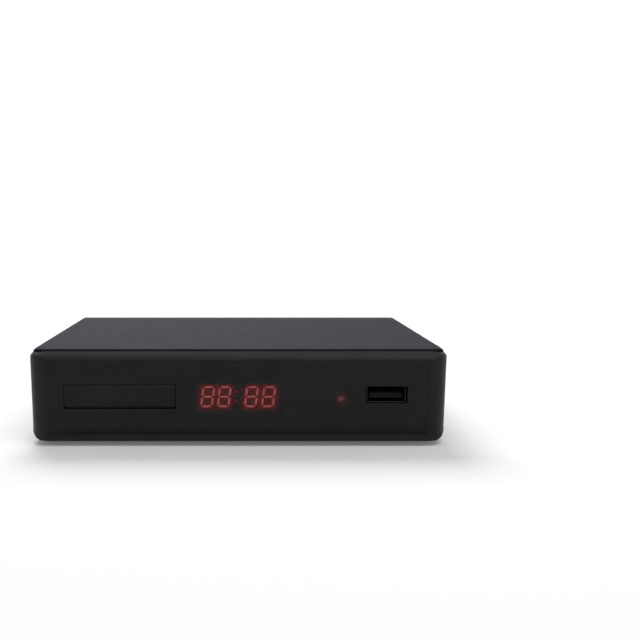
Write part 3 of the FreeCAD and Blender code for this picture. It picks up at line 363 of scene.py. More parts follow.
def make_piece(name, shells, sharp):
    """Joins shells of points and faces into one mesh, merges its seams and turns its faces outwards.

    The faces point outwards when the sum of area times normal times distance from the middle is positive."""
    points = []
    faces = []
    for shell_points, shell_faces in shells:
        start = sum(len(p) for p in points)
        points.append(shell_points)
        faces += [[start + corner for corner in face] for face in shell_faces]
    mesh = bpy.data.meshes.new(name)
    mesh.from_pydata((np.concatenate(points) * MM).tolist(), [], faces)
    tidy(mesh, sharp)
    piece = bpy.data.objects.new(name, mesh)
    bpy.context.scene.collection.objects.link(piece)
    return piece


def tidy(mesh, sharp):
    """Merges doubles, drops flat slivers, turns the faces outwards and smooths the gentle edges."""
    merge_reach = 2e-6
    sliver_length = 1e-7
    work = bmesh.new()
    work.from_mesh(mesh)
    bmesh.ops.remove_doubles(work, verts=work.verts, dist=merge_reach)
    bmesh.ops.dissolve_degenerate(work, edges=work.edges, dist=sliver_length)
    bmesh.ops.recalc_face_normals(work, faces=work.faces)
    middle = sum((v.co for v in work.verts), Vector()) / len(work.verts)
    outward = sum(f.calc_area() * f.normal.dot(f.calc_center_median() - middle) for f in work.faces)
    if outward < 0:
        bmesh.ops.reverse_faces(work, faces=work.faces)
    work.to_mesh(mesh)
    work.free()
    mesh.shade_smooth()
    mesh.set_sharp_from_angle(angle=math.radians(sharp))


def arc(start, end, steps):
    """Angles in radians from start to end degrees."""
    return np.radians(np.linspace(start, end, steps))


def circle(x, height, radius, count=48):
    """Closed round outline seen from the front."""
    angle = np.linspace(0, 2 * math.pi, count, endpoint=False)
    return np.stack([x + radius * np.cos(angle), height + radius * np.sin(angle)], axis=-1)


def rounded(x, height, width, tall, radius, steps=5):
    """Closed rectangle with round corners, seen from the front: four quarter circles in turn."""
    radius = max(radius, least_radius)
    outline = []
    for side_x, side_h, start in ((1, 1, 0), (-1, 1, 90), (-1, -1, 180), (1, -1, 270)):
        angle = arc(start, start + 90, steps)
        outline.append(np.stack([
            x + side_x * (width / 2 - radius) + radius * np.cos(angle),
            height + side_h * (tall / 2 - radius) + radius * np.sin(angle)], axis=-1))
    return np.concatenate(outline)


def arch(half, low, top, radius, steps=7):
    """Closed outline with two round upper corners, seen from the front."""
    radius = max(radius, least_radius)
    right = arc(0, 90, steps)
    left = arc(90, 180, steps)
    ends = np.array([[-half, low], [half, low]])
    up = np.stack([half - radius + radius * np.cos(right), top - radius + radius * np.sin(right)], axis=-1)
    down = np.stack([-half + radius + radius * np.cos(left), top - radius + radius * np.sin(left)], axis=-1)
    return np.concatenate([ends, up, down])


def rings_at(outlines, depths):
    """Outlines seen from the front, each at its depth, as rings of points."""
    outlines = np.asarray(outlines)
    depths = np.asarray(depths, dtype=float)[:, None]
    return at(outlines[..., 0], depths, outlines[..., 1])


def block(x, height, size, radius, front, back, bevel, softening=0.0):
    """Solid along depth: a rectangle with round corners, whose end edges are bevelled in two facets.

    Its corner radius falls by softening times the inset of the bevel."""
    step = bevel * 0.3
    insets = (bevel, step, 0, 0, step, bevel)
    depths = (front, front + step, front + bevel, back - bevel, back - step, back)
    return tower(rings_at([rounded(x, height, size[0] - 2 * inset, size[1] - 2 * inset,
                                   radius - softening * inset) for inset in insets], depths))


def folded_can(outline, wall, root, mouth, edge):
    """Can of folded sheet: outline(0) and the same pulled in by the wall, from root to mouth, where its edges
    are bevelled."""
    insets = (0, 0, edge, wall - edge, wall, wall)
    turn = mouth + math.copysign(edge, root - mouth)
    return tube(rings_at([outline(inset) for inset in insets], (root, turn, mouth, mouth, turn, root)))


def cut_plate(outlines, front, thickness, edge):
    """Flat plate with slightly rounded edges: the first outline is its edge, the others are its holes."""
    curve = bpy.data.curves.new("plate", "CURVE")
    curve.dimensions = "2D"
    curve.fill_mode = "BOTH"
    curve.extrude = thickness / 2 - edge
    curve.bevel_depth = edge
    curve.bevel_resolution = 2
    curve.offset = -edge
    for outline in outlines:
        line = curve.splines.new("POLY")
        line.points.add(len(outline) - 1)
        flat = np.zeros((len(outline), 4))
        flat[:, :2] = outline
        flat[:, 3] = 1
        line.points.foreach_set("co", flat.ravel())
        line.use_cyclic_u = True
    carrier = bpy.data.objects.new("plate", curve)
    bpy.context.scene.collection.objects.link(carrier)
    bpy.context.view_layer.update()
    mesh = bpy.data.meshes.new_from_object(carrier.evaluated_get(bpy.context.evaluated_depsgraph_get()))
    bpy.data.objects.remove(carrier)
    points = np.empty(len(mesh.vertices) * 3)
    mesh.vertices.foreach_get("co", points)
    points = points.reshape(-1, 3)
    faces = [list(polygon.vertices) for polygon in mesh.polygons]
    bpy.data.meshes.remove(mesh)
    return at(points[:, 0], front + thickness / 2 + points[:, 2], points[:, 1]), faces


def add_modifier(piece, kind, **settings):
    """Adds a modifier with its settings."""
    modifier = piece.modifiers.new(kind.title(), kind)
    for setting, value in settings.items():
        setattr(modifier, setting, value)


# ---------------------------------------------------------------- materials
cloud_size = 14.0                                   # of the slow change of colour, millimetres
noise_span = {"From Min": 0.3, "From Max": 0.7}     # what a noise's values mostly keep within
wave_turn = 0.314                                   # a wave texture's scale times its period


def linear(colour):
    """Linear colour from an sRGB hex value."""
    values = [int(colour[i:i + 2], 16) / 255 for i in (1, 3, 5)]
    return [v / 12.92 if v <= 0.04045 else ((v + 0.055) / 1.055) ** 2.4 for v in values] + [1.0]


def add(tree, kind, inputs=None, **settings):
    """Adds one node with its settings; an input is a value, or another node's output to link to it."""
    node = tree.nodes.new("ShaderNode" + kind)
    for setting, value in settings.items():
        setattr(node, setting, value)
    for socket, value in (inputs or {}).items():
        if isinstance(value, bpy.types.NodeSocket):
            tree.links.new(value, node.inputs[socket])
        else:
            node.inputs[socket].default_value = value
    return node


def start_material(name):
    """Empty material, its node tree, and the object's coordinates in metres."""
    material = bpy.data.materials.new(name)
    material.use_nodes = True
    tree = material.node_tree
    tree.nodes.clear()
    place = add(tree, "TexCoord").outputs["Object"]
    return material, tree, place


def close_material(material, tree, shader):
    """Links the shader to the material's output and returns the material."""
    add(tree, "OutputMaterial", {"Surface": shader.outputs[0]})
    return material


def surfaced(name, dark, light, roughness, grain, depth, metallic=0.0, stretch=(1, 1, 1), **shader):
    """Surface with a grain of the given size and depth in millimetres and a slow change of colour and gloss.

    Two noises: a slow one moves the colour from dark to light, and a fine one, stretched along an axis where
    the surface was brushed or rolled, gives the roughness and the bump."""
    material, tree, place = start_material(name)
    slow = add(tree, "TexNoise", {"Vector": place, "Scale": 1 / (cloud_size * MM), "Detail": 3.0})
    tint = add(tree, "MapRange", {"Value": slow.outputs[0], **noise_span})
    brushed = add(tree, "Mapping", {"Vector": place, "Scale": stretch})
    fine = add(tree, "TexNoise", {"Vector": brushed.outputs[0], "Scale": 1 / (grain * MM), "Detail": 4.0})
    gloss = add(tree, "MapRange", {"Value": fine.outputs[0], **noise_span,
                                   "To Min": roughness[0], "To Max": roughness[1]})
    bump = add(tree, "Bump", {"Height": fine.outputs[0], "Strength": 1.0, "Distance": depth * MM})
    colour = add(tree, "Mix", {"Factor": tint.outputs[0], 6: linear(dark), 7: linear(light)},
                 data_type="RGBA")
    surface = add(tree, "BsdfPrincipled", {
        "Base Color": colour.outputs[2], "Roughness": gloss.outputs[0], "Metallic": metallic,
        "Normal": bump.outputs[0], **{key.replace("_", " "): value for key, value in shader.items()}})
    return close_material(material, tree, surface)


def lit_segments():
    """Clear red resin over a lit light guide: pale pink along the middle of each bar, deep red at its sides.

    The mesh holds the light at each point as the attribute light, 1 in the middle and 0 at the edge."""
    material, tree, place = start_material("lit_red_light_guide")
    mottle = 0.7
    light = add(tree, "Attribute", attribute_name="light").outputs["Fac"]
    cloud = add(tree, "TexNoise", {"Vector": place, "Scale": 1 / (mottle * MM), "Detail": 2.0})
    uneven = add(tree, "MapRange", {"Value": cloud.outputs[0], **noise_span, "To Min": 0.75, "To Max": 1.0})
    level = add(tree, "MapRange", {"Value": light, "To Min": 1.0, "To Max": 3.6})
    strength = add(tree, "Math", {0: level.outputs[0], 1: uneven.outputs[0]}, operation="MULTIPLY")
    colour = add(tree, "Mix", {"Factor": light, 6: linear("#FF2018"), 7: linear("#FFA296")}, data_type="RGBA")
    surface = add(tree, "BsdfPrincipled", {
        "Base Color": linear("#8C1410"), "Roughness": 0.3, "Emission Color": colour.outputs[2],
        "Emission Strength": strength.outputs[0]})
    return close_material(material, tree, surface)


def distance_from(tree, place, x, height, half_wide=0.0, half_tall=0.0):
    """How far a point lies from a rectangle seen from the front, in metres; a circle's middle has no size."""
    near = add(tree, "Mapping", {"Vector": place, "Scale": (1, 0, 1),
                                 "Location": (-x * MM, 0, -(foot_height + height) * MM)})
    folded = add(tree, "VectorMath", {0: near.outputs[0]}, operation="ABSOLUTE")
    past = add(tree, "VectorMath", {0: folded.outputs[0], 1: (half_wide * MM, 0, half_tall * MM)},
               operation="SUBTRACT")
    outside = add(tree, "VectorMath", {0: past.outputs[0], 1: (0, 0, 0)}, operation="MAXIMUM")
    return add(tree, "VectorMath", {0: outside.outputs[0]}, operation="LENGTH").outputs["Value"]


def fading_zones(tree, place, zones):
    """Sum over the zones of a level that fades from a rectangle's edge to nothing at the zone's reach.

    A zone is the rectangle's x, height and half sizes, its reach in millimetres, and its level."""
    total = None
    for x, height, half_wide, half_tall, reach, level in zones:
        away = distance_from(tree, place, x, height, half_wide, half_tall)
        fade = add(tree, "MapRange", {"Value": away, "From Min": reach * MM, "From Max": 0.0,
                                      "To Max": level}, interpolation_type="SMOOTHERSTEP")
        total = fade if total is None else add(tree, "Math", {0: total.outputs[0], 1: fade.outputs[0]})
    return total.outputs[0]


def lit_lamp():
    """Cast red epoxy lit by the diode on its axis: pale in the middle, deep red and dim at the rim."""
    material, tree, place = start_material("lit_red_cast_epoxy")
    away = distance_from(tree, place, led_x, led_height)
    light = add(tree, "MapRange", {"Value": away, "From Min": led_radius * MM, "From Max": 0.0},
                interpolation_type="SMOOTHSTEP")
    strength = add(tree, "MapRange", {"Value": light.outputs[0], "To Min": 0.25, "To Max": 1.1})
    colour = add(tree, "Mix", {"Factor": light.outputs[0], 6: linear("#C8101C"), 7: linear("#FFA6BC")},
                 data_type="RGBA")
    surface = add(tree, "BsdfPrincipled", {
        "Base Color": linear("#6A080A"), "Roughness": 0.25, "Emission Color": colour.outputs[2],
        "Emission Strength": strength.outputs[0]})
    return close_material(material, tree, surface)


def smoked_acrylic():
    """Cast acrylic, smoked nearly black and polished, with black ink printed on its back.

    The ink leaves clear fields for the digits and the lamp, where their light shows through; round them a
    faint red haze is painted on as emission.
    The face is slightly wavy from the casting, with hairline marks from wiping along x."""
    wave_length, wave_depth, hair_width, hair_stretch = 9.0, 0.004, 0.3, 0.02
    haze_reach, lamp_haze_reach = 4.8, 4.2
    haze_level, lamp_haze_level = 0.005, 0.018
    haze_margin, field_margins = 1.5, (1.5, 1.0)
    digit_fade, lamp_fade, clearness = 3.5, 3.0, 0.3
    gloss_level = 0.165
    material, tree, place = start_material("smoked_acrylic_painted_haze")
    wave = add(tree, "TexNoise", {"Vector": place, "Scale": 1 / (wave_length * MM), "Detail": 1.0})
    wiped = add(tree, "Mapping", {"Vector": place, "Scale": (hair_stretch, 1, 1)})
    hair = add(tree, "TexNoise", {"Vector": wiped.outputs[0], "Scale": 1 / (hair_width * MM), "Detail": 5.0})
    gloss = add(tree, "MapRange", {"Value": hair.outputs[0], "From Min": 0.45, "From Max": 0.75,
                                   "To Min": 0.07, "To Max": 0.16})
    bump = add(tree, "Bump", {"Height": wave.outputs[0], "Strength": 1.0, "Distance": wave_depth * MM})
    pair_half = (digit_centres[1] - digit_centres[0] + digit_width) / 2 - haze_margin
    tall_half = digit_tall / 2 - haze_margin
    view_half = [size / 2 - margin for size, margin in zip(display_view, field_margins)]
    # Painted glow: red emission on the window that fades out round the digit pairs and the lamp.
    haze = fading_zones(tree, place, [
        (sum(digits) / 2, display_height, pair_half, tall_half, haze_reach, haze_level)
        for digits in (digit_centres[:2], digit_centres[2:])] + [
        (led_x, led_height, 0.0, 0.0, lamp_haze_reach, lamp_haze_level)])
    clear = fading_zones(tree, place, [
        (0.0, display_height, *view_half, digit_fade, clearness),
        (led_x, led_height, led_radius, led_radius, lamp_fade, clearness)])
    ink = add(tree, "Math", {0: 1.0, 1: clear}, operation="SUBTRACT")
    shine = add(tree, "Math", {0: gloss_level, 1: ink.outputs[0]}, operation="DIVIDE")
    cloud = add(tree, "Mix", {"Factor": wave.outputs[0], 6: linear("#090A0C"), 7: linear("#0D0E10")},
                data_type="RGBA")
    surface = add(tree, "BsdfPrincipled", {
        "Base Color": cloud.outputs[2], "Roughness": gloss.outputs[0], "Alpha": ink.outputs[0],
        "Specular IOR Level": shine.outputs[0], "Normal": bump.outputs[0],
        "Emission Color": linear("#FF0818"), "Emission Strength": haze})
    return close_material(material, tree, surface)


def glowing_housing():
    """Black display housing with a painted red glow: emission round the bars that stands for the light they
    spill on their surroundings.

    The mesh holds the spill at each point as the attribute light, 1 in a digit and 0 well away from it."""
    material, tree, place = start_material("display_polycarbonate_painted_glow")
    mottle = 1.2
    spill = add(tree, "Attribute", attribute_name="light").outputs["Fac"]
    grain = add(tree, "TexNoise", {"Vector": place, "Scale": 1 / (mottle * MM), "Detail": 2.0})
    soft = add(tree, "MapRange", {"Value": grain.outputs[0], "To Min": 0.55, "To Max": 0.85})
    # Painted glow: red emission on the housing from the stored spill, mottled by the grain.
    glow = add(tree, "Math", {0: spill, 1: soft.outputs[0]}, operation="MULTIPLY")
    surface = add(tree, "BsdfPrincipled", {
        "Base Color": linear("#0E0C0D"), "Roughness": 0.45, "Emission Color": linear("#FF0206"),
        "Emission Strength": glow.outputs[0]})
    return close_material(material, tree, surface)


def masked_laminate():
    """Glass-fibre laminate under green solder mask: the weave shows through, 0.5 mm from thread to thread,
    and copper runs show as lighter lines, 2.5 mm apart."""
    material, tree, place = start_material("solder_masked_laminate")
    thread, thread_relief, run_pitch = 0.5, 0.01, 2.5
    threads = [add(tree, "TexWave", {"Vector": place, "Scale": wave_turn / (thread * MM)},
                   bands_direction=way).outputs[1] for way in ("X", "Y")]
    weave = add(tree, "Math", {0: threads[0], 1: threads[1]}, operation="MULTIPLY")
    runs = add(tree, "TexBrick", {"Vector": place, "Scale": 1 / (run_pitch * MM), "Mortar Size": 0.12,
                                  "Color1": linear("#0E4A2A"), "Color2": linear("#0B4024"),
                                  "Mortar": linear("#1C6B3E")})
    colour = add(tree, "Mix", {"Factor": 0.18, 6: runs.outputs[0], 7: weave.outputs[0]},
                 data_type="RGBA", blend_type="OVERLAY")
    bump = add(tree, "Bump", {"Height": weave.outputs[0], "Strength": 1.0, "Distance": thread_relief * MM})
    surface = add(tree, "BsdfPrincipled", {"Base Color": colour.outputs[2], "Roughness": 0.35,
                                           "Normal": bump.outputs[0]})
    return close_material(material, tree, surface)


def ribbon_vinyl():
    """Extruded vinyl ribbon cable: grey strands 1.27 mm apart, rounded by the bump, with painted shade
    darkening the grooves between them.
    """
    material, tree, place = start_material("vinyl_ribbon_painted_groove_shade")
    strand, strand_relief = 1.27, 0.3
    strands_and_groove_shade = add(tree, "TexWave", {"Vector": place, "Scale": wave_turn / (strand * MM)}, bands_direction="X")
    bump = add(tree, "Bump", {"Height": strands_and_groove_shade.outputs[1], "Strength": 1.0, "Distance": strand_relief * MM})
    # Painted shade: the colour is darker in the grooves between strands and lighter on their crests.
    colour = add(tree, "Mix", {"Factor": strands_and_groove_shade.outputs[1], 6: linear("#6F7276"), 7: linear("#A2A5A8")},
                 data_type="RGBA")
    surface = add(tree, "BsdfPrincipled", {"Base Color": colour.outputs[2], "Roughness": 0.45,
                                           "Normal": bump.outputs[0]})
    return close_material(material, tree, surface)


# Each node's finish: its name, two near colours, roughness from and to, and its grain's width and depth.
finishes = {
    # Powder-coated steel: a matt bluish black over a fine orange-peel texture.
    "top_cover": surfaced("powder_coated_steel", "#1E1F27", "#23242C", (0.62, 0.74), 0.5, 0.006,
                          Specular_IOR_Level=0.06),
    # Zinc-plated steel sheet: bright grey with long rolling marks along the sheet.
    "base_chassis rear_panel": surfaced("zinc_plated_steel", "#9C9FA3", "#B4B7BA", (0.28, 0.42), 0.6, 0.003,
                                        metallic=1.0, stretch=(1, 0.12, 1)),
    # Rubber moulded without gloss: dark grey, with a coarse matt grain.
    "rubber_feet": surfaced("moulded_rubber", "#1C1C1D", "#242425", (0.75, 0.9), 0.4, 0.02),
    # Black oxide on steel: a thin dark skin that still glints as metal.
    "cover_screws rear_panel_screws bezel_screws flap_pins": surfaced(
        "black_oxide_steel", "#2A2A2C", "#363638", (0.35, 0.5), 0.2, 0.003, metallic=0.9),
    # Bright zinc on steel: silvery, with a slight blue.
    "front_board_screws main_board_screws": surfaced(
        "bright_zinc_steel", "#B9BCBE", "#CBCDCE", (0.25, 0.35), 0.2, 0.003, metallic=1.0),
    # ABS moulded in a spark-eroded mould: black with a satin grain; the flap's mould is a little smoother.
    "front_bezel": surfaced("moulded_black_abs", "#191A1D", "#1D1E21", (0.40, 0.50), 0.35, 0.003,
                            Specular_IOR_Level=0.13),
    "control_flap": surfaced("flap_moulded_abs", "#16171A", "#1A1B1E", (0.38, 0.46), 0.35, 0.003,
                             Specular_IOR_Level=0.13),
    # The same ABS in dark grey, so that the buttons stand out from their pocket.
    "standby_button channel_down_button channel_up_button": surfaced(
        "button_moulded_abs", "#26272A", "#2C2D30", (0.4, 0.5), 0.3, 0.005),
    # Natural acetal, moulded: waxy and off-white.
    "standby_stem channel_down_stem channel_up_stem": surfaced(
        "moulded_acetal", "#D8D5CC", "#E2DFD6", (0.35, 0.45), 0.3, 0.003),
    # Glass-filled nylon: black, dull from the fibres at its surface.
    "tact_switches": surfaced("moulded_switch_nylon", "#1B1B1D", "#212123", (0.5, 0.6), 0.25, 0.005),
    # Stamped stainless steel: thin, smooth and grey.
    "switch_covers": surfaced("stamped_switch_steel", "#B8B8B6", "#C6C6C4", (0.25, 0.35), 0.3, 0.002,
                              metallic=1.0),
    "front_window": smoked_acrylic(),
    "front_board main_board": masked_laminate(),
    "front_ribbon": ribbon_vinyl(),
    "display_housing": glowing_housing(),
    "display_segments": lit_segments(),
    "standby_led": lit_lamp(),
    # Natural nylon, moulded: milky, with a soft shine.
    "led_spacer": surfaced("spacer_nylon", "#E4E0D5", "#ECE9DF", (0.4, 0.5), 0.3, 0.003),
    # Cast epoxy that lets only infrared through: nearly black, glossy, with a hint of red.
    "infrared_receiver": surfaced("dark_red_cast_epoxy", "#120809", "#180B0C", (0.12, 0.2), 0.6, 0.001),
    # Black nickel on folded steel: dark, with a metal's sheen.
    "usb_shell": surfaced("black_nickel_plated_shell", "#26262A", "#303034", (0.3, 0.42), 0.3, 0.002,
                          metallic=1.0),
    # Nickel on folded steel: bright, faintly yellow.
    "hdmi_shell": surfaced("nickel_plated_shell", "#A9A8A4", "#B8B7B2", (0.2, 0.32), 0.3, 0.002,
                           metallic=1.0),
    # Glass-filled PBT: black and nearly matt, deep in its socket.
    "usb_tongue": surfaced("moulded_black_pbt", "#161618", "#1A1A1C", (0.55, 0.65), 0.3, 0.003,
                           Specular_IOR_Level=0.1),
    # Nylon of the sockets: black, with the soft shine of a polished mould.
    "hdmi_tongue scart_housing power_inlet": surfaced(
        "moulded_socket_nylon", "#1E1E20", "#252527", (0.42, 0.55), 0.3, 0.004),
    # Gold flash on the contacts, painted dull and brownish dark as the shade deep in the socket.
    "usb_contacts": surfaced("gold_flash_painted_shade", "#2E271B", "#3A3122", (0.4, 0.55), 0.2, 0.002, metallic=1.0),
    # Selective gold plating over nickel: warm and smooth.
    "scart_contacts": surfaced("gold_plated_contact", "#D9A94A", "#E6BC62", (0.18, 0.28), 0.2, 0.001,
                               metallic=1.0),
    # Natural nylon of the headers: cream, with a soft shine.
    "front_header main_header": surfaced(
        "moulded_header_nylon", "#E9E4D6", "#F1EDE1", (0.4, 0.5), 0.3, 0.003),
    # Brass as turned: yellow, with fine rings round its axis.
    "board_standoffs": surfaced("turned_brass", "#B8913F", "#C9A254", (0.2, 0.32), 0.25, 0.002,
                                metallic=1.0, stretch=(1, 1, 6)),
    # Epoxy moulded round the chips: matt charcoal with a fine sandy grain.
    "processor memory_chip flash_chip regulator": surfaced(
        "moulded_chip_epoxy", "#1A1A1B", "#202021", (0.55, 0.65), 0.2, 0.006),
    # Extruded aluminium, black anodised: satin, with drawn lines along the fins.
    "heatsink": surfaced("black_anodised_aluminium", "#26272A", "#303134", (0.3, 0.45), 0.4, 0.003,
                         metallic=0.8, stretch=(1, 0.1, 1)),
    # Drawn can, nickel plated: the brightest metal inside.
    "crystal": surfaced("nickel_plated_can", "#BFBDB7", "#CFCDC8", (0.15, 0.25), 0.3, 0.001, metallic=1.0),
    # Vinyl sleeve shrunk on the can: dark blue and smooth.
    "capacitors": surfaced("shrunk_vinyl_sleeve", "#1F2A44", "#26324F", (0.3, 0.4), 0.4, 0.004),
    # Sintered ferrite: dark grey, dry and slightly pitted.
    "power_inductors": surfaced("sintered_ferrite", "#2B2A29", "#353433", (0.6, 0.75), 0.25, 0.012),
    # Tinned steel sheet: soft silver with faint marks from rolling.
    "tuner_can tuner_lid": surfaced("tinned_steel_plate", "#B3B4B2", "#C4C5C3", (0.25, 0.4), 0.7, 0.003,
                                    metallic=1.0, stretch=(1, 0.15, 1)),
    # Nickel-plated zinc die casting, turned on its threads: bright, a little yellow.
    "f_barrels f_nuts f_washers coax_barrel power_pin": surfaced(
        "nickel_plated_casting", "#B5B2AA", "#C5C2BA", (0.16, 0.28), 0.25, 0.002, metallic=1.0,
        stretch=(1, 5, 1)),
    # PTFE as turned: white and waxy.
    "f_insulators": surfaced("turned_ptfe", "#E9E7E1", "#F2F0EA", (0.4, 0.5), 0.3, 0.002),
    # ABS in the orange that marks a digital sound socket, with a satin shine.
    "coax_insulator coax_housing": surfaced(
        "moulded_orange_abs", "#C9701E", "#D37B28", (0.35, 0.45), 0.3, 0.003),
}
node_materials = {node_name: finish for names, finish in finishes.items() for node_name in names.split()}
for node_name, node in nodes.items():
    node.data.materials.clear()
    node.data.materials.append(node_materials[node_name])


def finish_piece(name, shells, node_name, body, sharp=35.0):
    """Makes a piece that takes the node's material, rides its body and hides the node."""
    piece = make_piece(name, shells, sharp)
    piece.data.materials.append(node_materials[node_name])
    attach(piece, body)
    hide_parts(node_name)
    return piece


# ---------------------------------------------------------------- bezel and window
def bezel_path(inset):
    """Plan of the bezel pulled in by inset at each of its points: cheek, round corner, front, corner, cheek.

    A corner point lies at the corner's centre plus radius less inset, in the direction of its angle."""
    middle = bezel_half - bezel_corner
    turn = arc(180, 270, 15)
    half = len(turn) + 2
    inset = np.broadcast_to(inset, (2 * half,)).astype(float)
    sides = []
    for side, near in ((-1, inset[:half]), (1, inset[::-1][:half])):
        reach = bezel_corner - near[1:-1]
        x = np.concatenate([[near[0] - bezel_half], reach * np.cos(turn) - middle,
                            [-window_half - window_joint]])
        depth = np.concatenate([[bezel_side_depth], bezel_corner + reach * np.sin(turn), [near[-1]]])
        sides.append((-side * x, depth))
    (left_x, left_depth), (right_x, right_depth) = sides
    return np.concatenate([left_x, right_x[::-1]]), np.concatenate([left_depth, right_depth[::-1]])


def rim_inset():
    """How far in the rim reaches at each point of the path: up to the cover's outline, found by halving.

    The outline is a rectangle with round front corners, and its signed distance is negative inside."""
    halvings = 30
    low = np.zeros(len(bezel_path(0.0)[0]))
    high = np.full_like(low, bezel_corner - 0.1)
    for _ in range(halvings):
        middle = (low + high) / 2
        x, depth = bezel_path(middle)
        off_x = np.abs(x) - (rim_half - rim_corner)
        off_d = rim_front + rim_corner - depth
        corner = np.hypot(off_x, off_d) - rim_corner
        outside = np.where((off_x > 0) & (off_d > 0), corner,
                           np.maximum(np.abs(x) - rim_half, rim_front - depth))
        inside = outside <= 0
        high = np.where(inside, middle, high)
        low = np.where(inside, low, middle)
    return high


def facing_front():
    """How far each point of the path faces the front: 1 along the front, falling to 0 round each corner as
    the root of 1 less the share of the corner that lies behind."""
    across = np.abs(bezel_path(0.0)[0])
    return np.clip(1 - (across - (bezel_half - bezel_corner)) / bezel_corner, 0, 1) ** 0.5


def squeezed(points):
    """Points whose heights shrink to the bezel's middle where its corners are round, seen from the front.

    The share kept is the outline's half height at x over its full half height: the outline is straight up to
    the corner's centre, and past it falls as the root of radius squared less the distance past squared."""
    half = bezel_height / 2
    middle = foot_height + half
    radius = np.where(points[..., 2] > middle, bezel_edge, bezel_low_edge)
    past = np.clip(np.abs(points[..., 0]) - (bezel_half - radius), 0, radius)
    reach = half - radius + np.sqrt(radius ** 2 - past ** 2)
    bent = points.copy()
    bent[..., 2] = middle + (points[..., 2] - middle) * reach / half
    return bent


def top_edge_height(t):
    """Height on the bezel's upper edge, a quadratic Bezier curve: it leaves the face upright at t = 0 and
    reaches the seam at t = 1 with the seam's slope, and its depth is the edge's depth times t squared."""
    bend = top_edge_rise - top_edge_depth * math.tan(math.radians(top_edge_slope))
    return bezel_height - top_edge_rise + 2 * t * (1 - t) * bend + t ** 2 * top_edge_rise


def bezel_skin():
    """Closed moulding: a section carried round the plan, of the underside, the lower rail, the face, the
    upper edge, the rim, the seam and the inner wall.

    The lower rail is a quarter of an ellipse that stands proud of the face, then a hollow that falls back to
    it as a power of the way up. Where the cover's outline comes close, the upper edge stops at it, and its
    fall fades out round the corners. The window's cells are left out of the face and the inner wall, and
    four walls join the two openings."""
    low_turn = arc(0, 90, 9)
    low_edge = window_low - window_joint
    high_edge = window_high + window_joint
    upper = [(top_edge_depth * t ** 2, top_edge_height(t)) for t in np.linspace(0, 1, 17)]
    limit = rim_inset()
    top = top_edge_height(np.sqrt(np.minimum(limit / top_edge_depth, 1)))
    share_front = facing_front()
    proud = rail_proud * share_front
    under = bezel_path(bezel_bottom_radius)[0]
    inner = bezel_path(wall_back)[0]
    rows = [at(under, bezel_side_depth, 0.0)]
    for t in low_turn:
        inset = bezel_bottom_radius - (bezel_bottom_radius + proud) * math.sin(t)
        rows.append(at(*bezel_path(inset), rail_crest * (1 - math.cos(t))))
    for share in (0.15, 0.35, 0.6, 0.85, 1.0):
        rows.append(at(*bezel_path(-proud * (1 - share) ** rail_hollow),
                       rail_crest + share * (rail_back - rail_crest)))
    face_row = len(rows)
    rows += [at(*bezel_path(0.0), low_edge), at(*bezel_path(0.0), high_edge)]
    for inset, height in upper + [(rim_front, bezel_height)]:
        fall = (bezel_height - np.minimum(height, top)) * share_front
        rows.append(at(*bezel_path(np.minimum(inset, limit)), bezel_height - fall))
    rows.append(at(*bezel_path(limit), seam_floor))
    rows.append(at(*bezel_path(wall_back), seam_floor))
    inner_row = len(rows)
    rows += [at(*bezel_path(wall_back), high_edge), at(*bezel_path(wall_back), low_edge)]
    rows += [at(*bezel_path(wall_back), cavity_bottom), at(inner, bezel_side_depth, cavity_bottom)]
    grid = squeezed(np.array(rows))
    count, columns = grid.shape[:2]
    faces = cells(count, columns, wrap_rows=True)
    keep = np.ones(faces.shape[:2], dtype=bool)
    left = columns // 2 - 1
    keep[face_row, left] = False
    keep[inner_row, left] = False
    faces = faces[keep].reshape(-1, 4).tolist()
    around = [(face_row, left), (face_row, left + 1), (face_row + 1, left + 1), (face_row + 1, left)]
    behind = [(inner_row + 1, left), (inner_row + 1, left + 1), (inner_row, left + 1), (inner_row, left)]
    for i in range(4):
        ring = (around[i], around[(i + 1) % 4], behind[(i + 1) % 4], behind[i])
        faces.append([row * columns + column for row, column in ring])
    faces.append([row * columns for row in range(count)])
    faces.append([row * columns + columns - 1 for row in range(count)])
    return grid.reshape(-1, 3), faces


def flap_outline(grow):
    """Rectangle round the flap, grown by a margin."""
    return rounded((flap_left + flap_right) / 2, (flap_low + flap_high) / 2,
                   flap_right - flap_left + 2 * grow, flap_high - flap_low + 2 * grow, flap_corner)


def usb_slot_outline():
    """Opening for the USB socket in the window and the wall behind it."""
    return rounded(usb_x, usb_height, *usb_slot, usb_corner)


